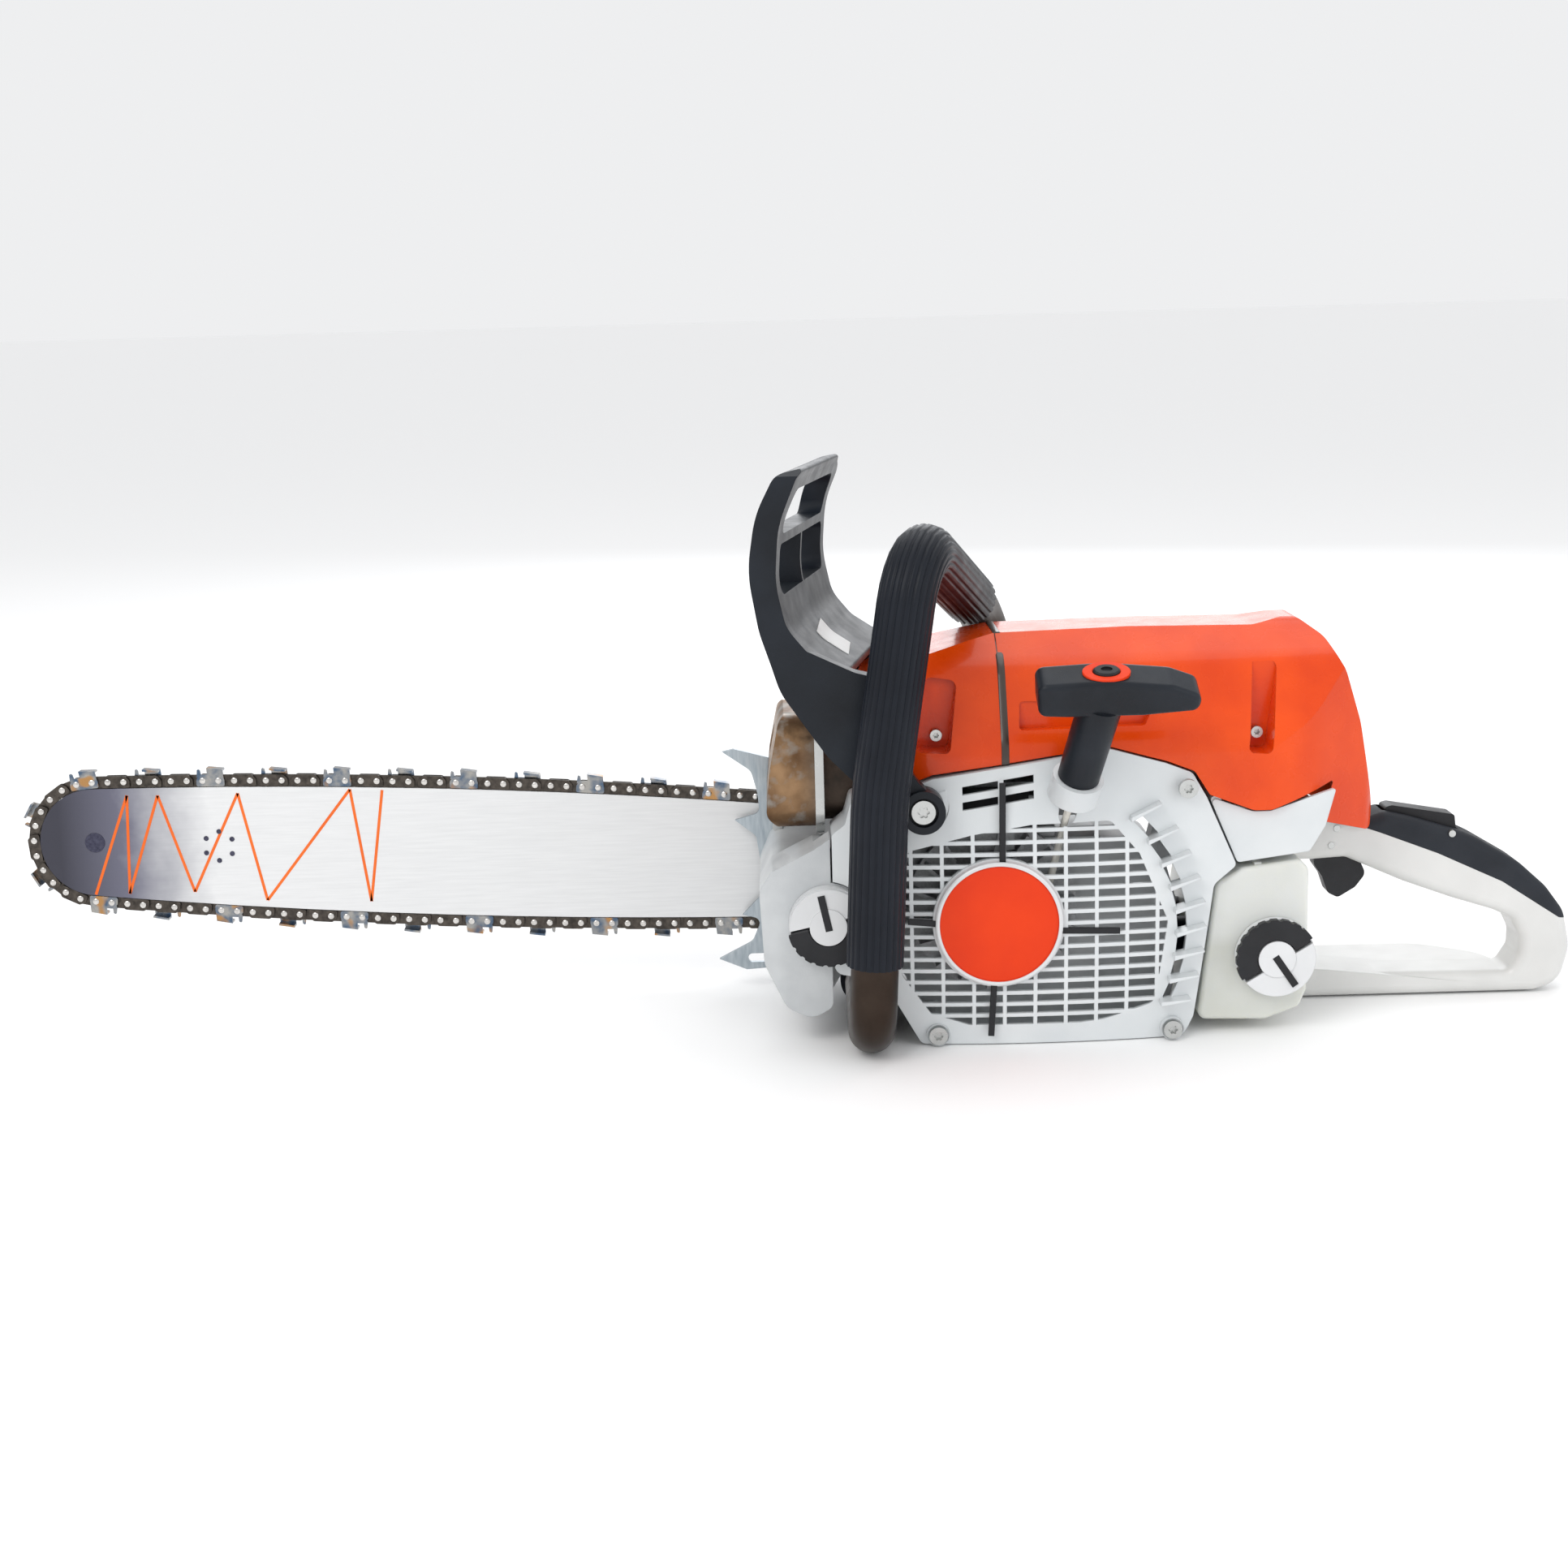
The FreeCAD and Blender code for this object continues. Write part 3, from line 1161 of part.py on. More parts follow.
# ---------------------------------------------------------------- covers and airbox
cover_section = [(cover_left, 90.0), (cover_left, 168.0, 30.0), (-54.0, 210.0, 30.0), (-24.0, 229.0, 26.0),
                 (8.0, 229.0, 24.0), (34.0, 212.0, 20.0), (cover_right, 180.0, 24.0), (cover_right, 90.0)]
inner_section = [(cover_left + 2.4, 89.0), (cover_left + 2.4, 167.5, 28.0), (-52.6, 208.0, 28.0),
                 (-23.2, 226.4, 24.0), (7.2, 226.4, 22.0), (32.0, 210.5, 18.0), (cover_right - 2.4, 179.5, 22.0),
                 (cover_right - 2.4, 89.0)]
front_outline = [(-71.0, 143.0), (-72.0, 199.0, 10.0), (-40.0, 214.6, 60.0), (-10.0, 222.0, 60.0),
                 (cover_seam - cover_gap / 2, 225.0), (cover_seam - cover_gap / 2, 158.6), (-35.0, 153.8, 4.0),
                 (-43.0, 150.4, 3.0), (-61.0, 143.6, 2.0)]
front_inside = [(-68.6, 130.0), (-69.6, 197.5, 8.0), (-39.0, 212.2, 58.0), (-9.5, 219.6, 58.0), (20.0, 222.6),
                (20.0, 130.0)]
rear_outline = [(cover_seam + cover_gap / 2, 158.8), (31.0, 162.7, 20.0), (62.0, 167.0, 10.0), (94.0, 158.0, 8.0),
                (109.0, 152.0, 5.0), (117.5, 138.5, 3.0), (142.0, 129.0, 10.0), (152.0, 129.0, 6.0),
                (189.0, 142.0, 1.0), (182.0, 119.5), (214.6, 108.5, 3.0), (216.5, 121.0, 40.0), (206.4, 172.0, 60.0),
                (196.4, 201.0, 30.0), (187.0, 219.5, 12.0), (175.0, 228.5, 8.0), (166.0, 228.5, 10.0),
                (149.0, 225.5, 20.0), (80.0, 226.3, 90.0), (cover_seam + cover_gap / 2, 225.0)]
rear_inside = [(-10.0, 120.0), (100.0, 120.0), (178.6, 100.0), (213.0, 100.0), (213.9, 121.0, 38.0),
               (204.0, 171.3, 58.0), (194.2, 200.0, 28.0), (185.2, 217.8, 10.0), (174.4, 226.0, 6.0),
               (166.4, 226.0, 8.0), (149.2, 223.1, 18.0), (80.0, 223.9, 88.0), (-10.0, 222.6)]
front_slot = [(-45.8, 164.7, 5.0), (-23.4, 163.4, 5.0), (-17.9, 204.6, 6.0), (-39.0, 207.0, 6.0)]
rear_slot = [(136.7, 159.6, 5.0), (153.2, 158.6, 5.0), (159.3, 210.0, 6.0), (142.8, 213.4, 6.0)]
hand_recess = [(11.5, 174.5, 4.0), (84.0, 175.5, 4.0), (91.0, 191.5, 5.0), (12.5, 193.0, 4.0)]


def cover_plan(x0, x1, front_taper, rear_taper):
    """Outline from above: the cover is narrower at its front and rear ends."""
    return [(x0, cover_left + front_taper, 14.0), (x0 + 34.0, cover_left, 40.0), (x1 - 50.0, cover_left, 60.0),
            (x1, cover_left + rear_taper, 16.0), (x1, cover_right - rear_taper, 16.0),
            (x1 - 50.0, cover_right, 60.0), (x0 + 34.0, cover_right, 40.0), (x0, cover_right - front_taper, 14.0)]


def cover_mass(side, section, plan_grow):
    ends = (-72.0 - plan_grow, 217.0 + plan_grow)
    plan = slab(cover_plan(ends[0], ends[1], 12.0, 34.0), 60.0, 250.0, "xy")
    return slab(side, cover_left - 1, cover_right + 1).common(slab(section, -90.0, 230.0, "yz")).common(plan)


def slot_recess(points, deep):
    """Screw slot sunk into the cover's side, with walls of its own."""
    return slab(points, cover_left - 3, cover_left + deep)


slot_depth = 22.0
tray_depth = 13.0


def front_cover():
    """Front shroud over the cylinder."""
    outer = cover_mass(front_outline, cover_section, 0.0)
    inner = cover_mass(front_inside, inner_section, -cover_wall)
    shell = outer.cut(inner)
    well = slab(front_slot, cover_left, cover_left + slot_depth + 2.0).common(outer)
    shell = shell.fuse(well).cut(slot_recess(grown_slot(front_slot, -1.8), slot_depth))
    hole = across(cover_screw_places[0][0], cover_screw_places[0][1], 2.6, -80, -40)
    opening = block(-80.0, -60.0, muffler_rear_left - 2, muffler_right, 120.0, muffler_top + 3)
    return shell.cut(group([hole, opening]))


def rear_cover():
    """Filter cover behind the seam, hump at its rear end."""
    outer = cover_mass(rear_outline, cover_section, 0.0)
    inner = cover_mass(rear_inside, inner_section, -cover_wall)
    shell = outer.cut(inner)
    well = slab(rear_slot, cover_left, cover_left + slot_depth + 2.0).common(outer)
    shell = shell.fuse(well).cut(slot_recess(grown_slot(rear_slot, -1.8), slot_depth))
    tray = slab(hand_recess, cover_left, cover_left + tray_depth + 2.0).common(outer)
    shell = shell.fuse(tray).cut(slot_recess(grown_slot(hand_recess, -1.8), tray_depth))
    hole = across(cover_screw_places[1][0], cover_screw_places[1][1], 2.6, -80, -40)
    gate = block(204.0, 222.0, lever_y[0] - 0.6, lever_y[1] + 0.6, 100.0, 126.0)
    return shell.cut(group([hole, gate]))


def grown_slot(points, amount):
    """The same slot with every corner moved out (or in) from its middle."""
    cx = sum(p[0] for p in points) / len(points)
    cz = sum(p[1] for p in points) / len(points)
    moved = []
    for p in points:
        sx = amount if p[0] > cx else -amount
        sz = amount if p[1] > cz else -amount
        moved.append((p[0] + sx, p[1] + sz, max(p[2] + amount, 1.0)))
    return moved


cover_screw_places = ((-31.5, 172.5), (146.5, 169.5))


def cover_screws():
    face = cover_left + slot_depth
    return group([screw(x, z, face - 4.5, face + 8.0, 3.3, 4.5, 2.5) for x, z in cover_screw_places])


airbox_outline = [(118.0, 136.5, 2.0), (134.0, 98.8, 2.0), (174.0, 104.0, 3.0), (182.5, 118.5, 2.0),
                  (188.0, 139.5, 1.0), (152.0, 127.6, 6.0), (142.0, 127.6, 10.0)]
airbox_floor = [(118.0, 136.5, 2.0), (134.0, 98.8, 2.0), (174.0, 104.0, 3.0), (182.3, 118.0, 1.0),
                (180.0, 122.0, 1.0), (171.0, 108.0, 4.0), (138.0, 103.5, 5.0), (124.0, 136.5, 2.0)]
airbox_tail = [(180.0, 117.2), (207.0, 110.0), (208.0, 113.0), (180.0, 121.0)]
airbox_left = cover_left + 4.0
airbox_right = cover_right - 3.0


def airbox():
    """Housing floor under the filter cover, with its grey side panels."""
    floor = slab(airbox_floor, airbox_left + 1, airbox_right - 1)
    floor = floor.fuse(slab(airbox_tail, -38.0, 12.0))
    panels = [slab(airbox_outline, airbox_left, airbox_left + 3.0), slab(airbox_outline, airbox_right - 3.0, airbox_right)]
    mouth = block(100.0, 139.0, -24.0, 24.0, 108.0, 150.0)
    lever_gate = block(192.0, 212.0, lever_y[0] - 0.6, lever_y[1] + 0.6, 104.0, 130.0)
    return join([floor] + panels).cut(group([mouth, lever_gate]))


port_z = deck_z + 23.0


def intake_boot():
    """Rubber boot between cylinder and carburettor."""
    body = rod((58.0, 0, port_z), (98.0, 0, port_z), 17.0)
    for x in (68.0, 78.0, 88.0):
        body = body.cut(rod((x, 0, port_z), (x + 4.0, 0, port_z), 18.0).cut(rod((x, 0, port_z), (x + 4.0, 0, port_z), 14.0)))
    return body.cut(rod((50.0, 0, port_z), (110.0, 0, port_z), 10.0))


carb_x = (98.0, 136.0)
throttle_x = 112.0
butterfly_radius = 9.0


def carburettor():
    body = slab([(carb_x[0], port_z - 17.0, 2.0), (carb_x[1], port_z - 17.0, 2.0), (carb_x[1], port_z + 17.0, 2.0),
                 (carb_x[0], port_z + 17.0, 2.0)], -19.0, 19.0)
    bore = rod((90.0, 0, port_z), (150.0, 0, port_z), 10.0)
    pump_cover = block(carb_x[0] + 4, carb_x[1] - 4, -15, 15, port_z - 20.0, port_z - 16.0)
    shaft_hole = across(throttle_x, port_z, 2.5 + run_gap, -25, 25)
    return body.fuse(pump_cover).cut(group([bore, shaft_hole]))


def throttle_shaft():
    """Butterfly disc on its cross shaft, with the lever that the trigger's rod pulls."""
    shaft = across(throttle_x, port_z, 2.5, -22.0, 22.0)
    disc = rod((throttle_x - 0.6, 0, port_z), (throttle_x + 0.6, 0, port_z), butterfly_radius)
    disc.rotate(V(throttle_x, 0, port_z), V(0, 1, 0), -14.0)
    arm = slab([(throttle_x - 3.0, port_z - 4.0, 2.0), (throttle_x + 3.0, port_z - 4.0, 2.0),
                (throttle_x + 4.0, port_z + 14.0, 2.0), (throttle_x - 2.0, port_z + 14.0, 2.0)], 19.6, 21.6)
    return join([shaft, disc, arm])


def air_filter():
    """Round pleated filter lying along the saw, on its base plate behind the carburettor."""
    x0, x1 = 142.0, 190.0
    y, z, outer, inner = -14.0, 168.0, 30.0, 19.0
    base = rod((x0 - 3.0, y, z), (x0, y, z), outer + 2.0)
    cap = rod((x1, y, z), (x1 + 3.0, y, z), outer)
    sleeve = rod((x0, y, z), (x1, y, z), outer - 3.0)
    pleats = []
    for k in range(24):
        pleat = block(x0, x1, -1.4, 1.4, inner, outer)
        pleat.rotate(V(0, 0, 0), V(1, 0, 0), 15.0 * k)
        pleat.translate(V(0, y, z))
        pleats.append(pleat)
    body = join([base, cap, sleeve] + pleats)
    return body.cut(rod((x0 - 4.0, y, z), (x1 - 2.0, y, z), inner))


def filter_duct():
    """Elbow plate that joins the carburettor's mouth to the filter's base."""
    plate = slab([(-20.0, port_z - 18.0, 4.0), (20.0, port_z - 18.0, 4.0), (20.0, 150.0, 4.0), (12.0, 170.0, 10.0),
                  (-34.0, 170.0, 10.0), (-34.0, 150.0, 6.0), (-20.0, 150.0)], carb_x[1], 139.0, "yz")
    return plate.cut(rod((130, 0, port_z), (150, 0, port_z), 10.0))


# ---------------------------------------------------------------- tank and rear handle
tank_outline = [(112.5, 8.0, 5.0), (151.0, 7.0, 8.0), (170.0, 14.0, 6.0), (tank_rear, 24.0, 4.0),
                (tank_rear, 94.0, 6.0), (169.0, 99.3, 3.0), (137.0, 95.2, 8.0), (122.5, 87.0, 8.0)]
tank_inside = [(116.0, 11.0, 3.0), (151.0, 10.0, 6.0), (168.0, 16.5, 4.0), (tank_rear - 3.0, 25.0, 3.0),
               (tank_rear - 3.0, 92.0, 4.0), (168.0, 96.3, 2.0), (138.0, 92.3, 6.0), (125.5, 85.0, 6.0)]


def fuel_tank():
    """Blown translucent tank with two ribs on top and a filler on the starter side."""
    outer = slab(tank_outline, tank_left, tank_right)
    rims = [e for e in outer.Edges if abs(e.CenterOfMass.y - tank_left) < 0.01 or abs(e.CenterOfMass.y - tank_right) < 0.01]
    outer = outer.makeFillet(2.4, rims)
    inner = slab(tank_inside, tank_left + 3.0, tank_right - 3.0)
    neck = across(fuel_cap_at[0], fuel_cap_at[1], cap_neck + 3.0, tank_left, tank_left + 12.0).common(outer)
    ribs = [block(x, x + 4.0, tank_left + 3, tank_left + 22, 90.0, 97.6) for x in (144.0, 156.0)]
    body = outer.cut(inner).fuse([neck] + ribs)
    mouth = across(fuel_cap_at[0], fuel_cap_at[1], cap_neck + 0.3, tank_left - 1, tank_left + 13.0)
    return body.cut(mouth)


trigger_pivot = (200.0, 93.0)
lockout_pivot = (270.0, 98.0)
lever_pivot = (203.0, 103.0)
lever_y = (9.0, 15.0)
pin_radius = 2.0


def handle_blank():
    """Closed rear handle before it is divided into body and soft insert."""
    rim = [(tank_rear, 0.8), (322.0, 0.8, 16.0), (337.0, 6.0, 16.0), (342.5, 27.0, 24.0), (338.0, 49.0, 18.0),
           (327.0, 64.0, 24.0), (310.6, 79.0, 40.0), (281.0, 97.0, 70.0), (246.0, 108.0, 40.0), (231.0, 111.5, 8.0),
           (214.0, 105.5, 8.0), (206.0, 108.0, 3.0), (184.0, 116.0, 3.0), (tank_rear, 92.0), (tank_rear, 84.0, 2.0), (190.0, 84.0, 8.0),
           (209.0, 85.0, 6.0), (243.0, 69.5, 60.0), (272.0, 58.6, 60.0), (297.0, 50.5, 24.0), (307.0, 45.5, 8.0),
           (312.5, 34.0, 10.0), (312.5, 24.0, 8.0), (306.0, 13.5, 6.0), (229.0, 14.5), (199.0, 18.0, 10.0),
           (tank_rear, 20.0)]
    blank = slab(rim, -grip_half, grip_half)
    return blank


def insert_region():
    return slab([(204.5, 108.3), (228.3, 99.8), (261.7, 86.7), (300.1, 68.6), (334.0, 46.0), (360.0, 40.0),
                 (360.0, 140.0), (216.0, 140.0)], -40, 40)


def handle_pockets():
    """Room for trigger, lockout lever and control lever."""
    cuts = [block(187.0, 231.0, -6.4, 6.4, 60.0, 99.0)]
    cuts.append(block(231.0, 276.5, -7.4, 7.4, 88.0, 130.0))
    cuts.append(block(196.0, 240.0, lever_y[0] - 0.6, lever_y[1] + 0.6, 96.0, 140.0))
    for pivot in (trigger_pivot, lockout_pivot, lever_pivot):
        cuts.append(across(pivot[0], pivot[1], pin_radius, -grip_half - 1, grip_half + 1))
    return group(cuts)


def rounded_blank():
    blank = handle_blank()
    rims = []
    for e in blank.Edges:
        c = e.CenterOfMass
        if abs(abs(c.y) - grip_half) < 0.01 and c.x > 215.0 and c.z > 18.0:
            rims.append(e)
    return blank.makeFillet(6.0, rims)


def rear_handle():
    blank = rounded_blank().cut(insert_region())
    foot = slab([(tank_rear, 0.0), (312.0, 0.0, 20.0), (300.0, 30.0, 30.0), (270.0, 52.0, 30.0), (tank_rear, 54.0)],
                0.8, 12.5, "xy")
    return blank.fuse(foot).removeSplitter().cut(handle_pockets())


def grip_insert():
    return rounded_blank().common(insert_region()).cut(handle_pockets())


def handle_pins():
    pins = []
    for pivot in (trigger_pivot, lockout_pivot, lever_pivot):
        pins.append(across(pivot[0], pivot[1], pin_radius, -grip_half - 0.3, grip_half + 0.3))
    return group(pins)


def throttle_trigger():
    hub = across(trigger_pivot[0], trigger_pivot[1], 5.0, -5.8, 5.8)
    blade = slab([(196.0, 96.0, 2.0), (192.0, 80.0, 6.0), (197.5, 72.0, 6.0), (201.0, 62.0, 4.0), (207.0, 59.0, 3.0),
                  (217.0, 65.0, 6.0), (223.0, 73.0, 5.0), (219.0, 82.0, 5.0), (210.0, 96.0, 2.0)], -5.8, 5.8)
    hole = across(trigger_pivot[0], trigger_pivot[1], pin_radius + run_gap, -10, 10)
    return hub.fuse(blade).removeSplitter().cut(hole)


def lockout_lever():
    hub = across(lockout_pivot[0], lockout_pivot[1], 4.5, -6.8, 6.8)
    blade = slab([(233.0, 104.5, 1.0), (233.0, 112.8, 2.0), (237.0, 113.8, 2.0), (273.7, 107.3, 2.0),
                  (275.0, 97.0, 2.0), (266.0, 95.0, 2.0), (250.0, 103.0, 6.0)], -6.8, 6.8)
    hole = across(lockout_pivot[0], lockout_pivot[1], pin_radius + run_gap, -10, 10)
    return hub.fuse(blade).removeSplitter().cut(hole)


def control_lever():
    y0, y1 = lever_y
    hub = across(lever_pivot[0], lever_pivot[1], 5.0, y0, y1)
    arm = slab([(199.0, 106.0, 2.0), (207.0, 100.0, 2.0), (219.5, 110.5, 3.0), (223.0, 120.0, 3.0),
                (226.5, 130.0, 2.0), (223.0, 135.0, 2.0), (218.5, 132.5, 2.0), (218.0, 122.0, 4.0), (214.5, 114.0, 4.0)],
               y0, y1)
    hole = across(lever_pivot[0], lever_pivot[1], pin_radius + run_gap, y0 - 1, y1 + 1)
    return hub.fuse(arm).removeSplitter().cut(hole)


# ---------------------------------------------------------------- front handle and hand guard
tube_path = [(-70.0, 24.0, 13.6), (-72.0, handle_left, 13.6, 26.0), (-65.5, handle_left, 150.0, 300.0),
             (-45.0, handle_left, 287.0, 26.0), (6.0, handle_right + 4.0, 224.0, 34.0), (24.0, handle_right, 150.0)]


def front_handle():
    return pipe(tube_path, tube_radius)


def sleeve_path():
    """The part of the handle that the rubber covers."""
    foot = V(*tube_path[1][:3])
    knee = V(*tube_path[2][:3])
    start = foot + (knee - foot) * ((58.0 - foot.z) / (knee.z - foot.z))
    top = V(*tube_path[3][:3])
    far = V(*tube_path[4][:3])
    end = top + (far - top) * 0.80
    return [tuple(start), tube_path[2], tube_path[3], tuple(end)]


def handle_sleeve():
    path = sleeve_path()
    outer = pipe(path, tube_radius + sleeve_wall)
    return outer.cut(pipe(tube_path, tube_radius))


def handle_mounts():
    """Rubber-sprung feet that hold the front handle to the casing."""
    low = block(-79.0, -57.0, 4.0, 22.0, 13.6, 31.0).fuse(across(-70.0, 13.6, 16.0, 4.0, 22.0))
    low = low.common(block(-90, -50, 0, 30, 3.0, 31.0))
    high = block(8.0, 40.0, case_right - 6.0, handle_right + 6.0, 150.0 - 26.0, 150.0 - 0.0)
    return group([low.cut(front_handle()), high.cut(front_handle()).cut(block(-60, 51, -60, 39.5, 100, 200))])


guard_shear = 28.0 / 150.0
guard_seat = -96.0
guard_far = 57.0
guard_profile = [(-102.0, 324.0, 5.0), (-117.0, 321.0, 10.0), (-128.0, 300.0, 60.0), (-132.8, 270.0, 70.0),
                 (-127.5, 238.0, 60.0), (-117.0, 206.0, 10.0), (-98.0, 204.0, 12.0), (-84.0, 208.5, 3.0),
                 (-82.5, 214.0, 2.0), (-90.0, 218.5, 10.0), (-102.0, 226.5, 20.0), (-113.0, 240.0, 24.0),
                 (-118.2, 264.0, 60.0), (-116.0, 294.0, 60.0), (-106.0, 318.0, 4.0)]


def guard_band():
    face = Part.Face(outline(guard_profile))
    face.translate(V(0, guard_seat, 0))
    length = guard_far - guard_seat
    return face.extrude(V(guard_shear * length, length, 0))


def guard_arm_left():
    points = [(-126.5, 236.0), (-117.0, 205.0, 40.0), (-92.5, 169.5, 40.0), (-60.0, 136.5, 30.0), (-46.0, 127.5, 8.0),
              (-32.0, 127.0, 8.0), (-30.0, 140.0, 9.0), (-44.0, 154.0, 20.0), (-62.0, 184.0, 20.0),
              (-65.0, 212.0, 3.0), (-77.0, 215.0, 20.0), (-104.0, 228.0, 10.0)]
    return slab(points, guard_seat, guard_seat + 13.0)


def guard_arm_right():
    shift = guard_shear * (guard_far - guard_seat)
    points = [(-98.0, 224.0), (-88.0, 205.0, 10.0), (-66.0, 165.0, 30.0), (-54.0, 131.0, 12.0), (-42.0, 125.5, 8.0),
              (-29.0, 130.0, 8.0), (-30.0, 146.0, 9.0), (-42.0, 180.0, 30.0), (-66.0 + shift, 208.0, 4.0),
              (-66.0 + shift, 213.0), (-77.0 + shift, 215.0)]
    return slab(points, guard_far - 10.0, guard_far)


def guard_windows():
    """Two openings through the guard, the lower one with a thin upright rib."""
    upper = slab([(-84.0, 288.5, 6.0), (46.0, 288.5, 6.0), (42.0, 312.0, 8.0), (-78.0, 312.0, 8.0)], -150, -60, "yz")
    lower = slab([(-86.0, 256.0, 8.0), (46.0, 256.0, 8.0), (47.0, 283.5, 5.0), (-86.0, 283.5, 5.0)], -150, -60, "yz")
    rib = block(-151, -59, -22.0, -18.5, 250.0, 290.0)
    return group([upper, lower.cut(rib)])


guard_crown = [(-120.0, 110.0), (62.0, 110.0), (62.0, 312.0, 20.0), (22.0, 325.0, 40.0), (-84.0, 326.0, 20.0),
               (-120.0, 308.0, 10.0)]


def hand_guard():
    """Front guard and brake lever: a leaning band with windows, on an arm at each side."""
    body = join([guard_band(), guard_arm_left(), guard_arm_right()])
    boss = across(guard_axis[0], guard_axis[1], 12.0, guard_seat - 3.0, guard_seat + 13.0)
    body = body.fuse(boss).cut(guard_windows()).common(slab(guard_crown, -200, 0, "yz"))
    bore = across(guard_axis[0], guard_axis[1], guard_pin_radius + run_gap, -120, 90)
    sink = across(guard_axis[0], guard_axis[1], 8.0, guard_seat - 4.0, guard_seat + 1.0)
    return body.removeSplitter().cut(bore.fuse(sink))


guard_pin_radius = 4.5


def guard_screws():
    """Shouldered pivot screws, one at each side of the guard."""
    x, z = guard_axis
    left = screw(x, z, guard_seat - 1.5, guard_seat_y + 3.0, 6.6, 2.2, guard_pin_radius)
    right = screw(x, z, guard_far + 8.8, guard_far - 10.0, 6.6, 2.2, guard_pin_radius)
    return group([left, right])


# ---------------------------------------------------------------- cutting side cover
def sprocket_cover():
    """Cover over clutch and sprocket that clamps the bar on its studs."""
    rim = [(-128.0, 96.0, 8.0), (-112.0, 112.0, 10.0), (-60.0, 120.0, 20.0), (8.0, 119.0, 30.0), (54.0, 100.0, 24.0),
           (56.0, 56.0, 24.0), (40.0, 26.0, 24.0), (-20.0, 16.0, 30.0), (-92.0, 24.0, 20.0), (-128.0, 46.0, 14.0)]
    inside = [(-140.0, 93.0), (-111.0, 109.0, 8.0), (-60.0, 117.0, 18.0), (8.0, 116.0, 28.0), (51.5, 98.5, 22.0),
              (53.0, 57.0, 22.0), (38.5, 28.5, 22.0), (-20.0, 18.8, 28.0), (-91.0, 27.0, 18.0), (-140.0, 50.0)]
    outer = slab(rim, cover_edge, cover_face)
    rims = [e for e in outer.Edges if abs(e.CenterOfMass.y - cover_face) < 0.01]
    outer = outer.makeFillet(5.0, rims)
    cavity = slab(inside, cover_edge - 1, cover_face - 2.6)
    pads = [across_stud(reach, 9.0, pad_face, cover_face - 1.0) for reach in stud_reach]
    bridge = block(-stud_reach[1], -stud_reach[0], pad_face, pad_face + 8.0, 68.0, 84.0)
    wells = [across_stud(reach, 11.5, cover_face - 10.0, cover_face) for reach in stud_reach]
    pits = [across_stud(reach, 9.0, cover_face - 8.0, cover_face + 1) for reach in stud_reach]
    holes = [across_stud(reach, stud_radius + 0.3, 40, 90) for reach in stud_reach]
    anchor = block(-drum_radius - 9.0, -drum_radius - 3.0, drum_y[1] - 3.0, cover_face - 1.0,
                   crank_z + 4.0, crank_z + 12.0)
    body = outer.cut(cavity).fuse(pads + [bridge] + wells + [guard_ear(), anchor])
    return body.cut(group(pits)).cut(group(holes)).removeSplitter()


cover_edge = bar_y + 4.6
cover_face = bar_y + 28.0
pad_face = bar_y + bar_thick / 2


def guard_ear():
    """Ear on the sprocket cover that carries the guard's cutting-side pivot."""
    x, z = guard_axis
    ear = slab([(x - 20.0, 112.0), (x + 20.0, 112.0), (x + 12.0, z + 12.0, 11.0), (x - 12.0, z + 12.0, 11.0)],
               guard_far + 0.6, guard_far + 6.6)
    return ear.cut(across(x, z, guard_pin_radius, guard_far, guard_far + 7.0))


def across_stud(reach, radius, y0, y1):
    turn = math.radians(bar_tilt)
    return across(-reach * math.cos(turn), crank_z + reach * math.sin(turn), radius, y0, y1)


def bar_nuts():
    """Two flanged hexagon nuts on the bar studs."""
    nuts = []
    for reach in stud_reach:
        turn = math.radians(bar_tilt)
        points = [(7.2 * math.cos(math.radians(60 * k)), 7.2 * math.sin(math.radians(60 * k))) for k in range(6)]
        nut = slab(points, cover_face - 7.9, cover_face + 1.0)
        flange = across(0, 0, 8.6, cover_face - 7.9, cover_face - 5.9)
        nut = nut.fuse(flange).cut(across(0, 0, stud_radius, 0, 100))
        nut.translate(V(-reach * math.cos(turn), 0, crank_z + reach * math.sin(turn)))
        nuts.append(nut)
    return group(nuts)


def chain_tensioner():
    """Screw-driven slide whose pin sits in the bar's adjusting hole."""
    x = -stud_reach[0]
    pin = across(x, crank_z - 17.0, 3.1, case_right + 1.0, bar_y + 1.5)
    shoe = block(x - 8.0, x + 8.0, case_right + 0.6, pad_y - 0.3, crank_z - 21.5, crank_z - 12.5)
    spindle = rod((x - 44.0, 40.0, crank_z - 17.0), (x + 20.0, 40.0, crank_z - 17.0), 2.4)
    return on_bar(join([shoe, pin, spindle]))


def tensioner_slot():
    x = -stud_reach[0]
    slot = block(x - 46.0, x + 22.0, case_right + 0.4, bar_y, crank_z - 22.0, crank_z - 12.0)
    return on_bar(slot)


def chain_catcher():
    """Soft hook under the bar's root that catches a thrown chain."""
    hook = slab([(-112.0, 27.5, 2.0), (-92.0, 26.5, 2.0), (-92.0, 21.0, 2.0), (-106.0, 20.5, 4.0), (-114.0, 19.5, 3.0)],
                case_right, bar_y + 4.0)
    return hook


def av_springs():
    """Rubber buffers between casing and tank unit, drawn as round plugs."""
    casing = slab(case_outline, case_left, case_right)
    tank = slab(tank_outline, tank_left, tank_right)
    plugs = [rod((103.0, y, 44.0), (122.0, y, 44.0), 10.0) for y in (-20.0, 24.0)]
    return group([plug.cut(casing).cut(tank) for plug in plugs])


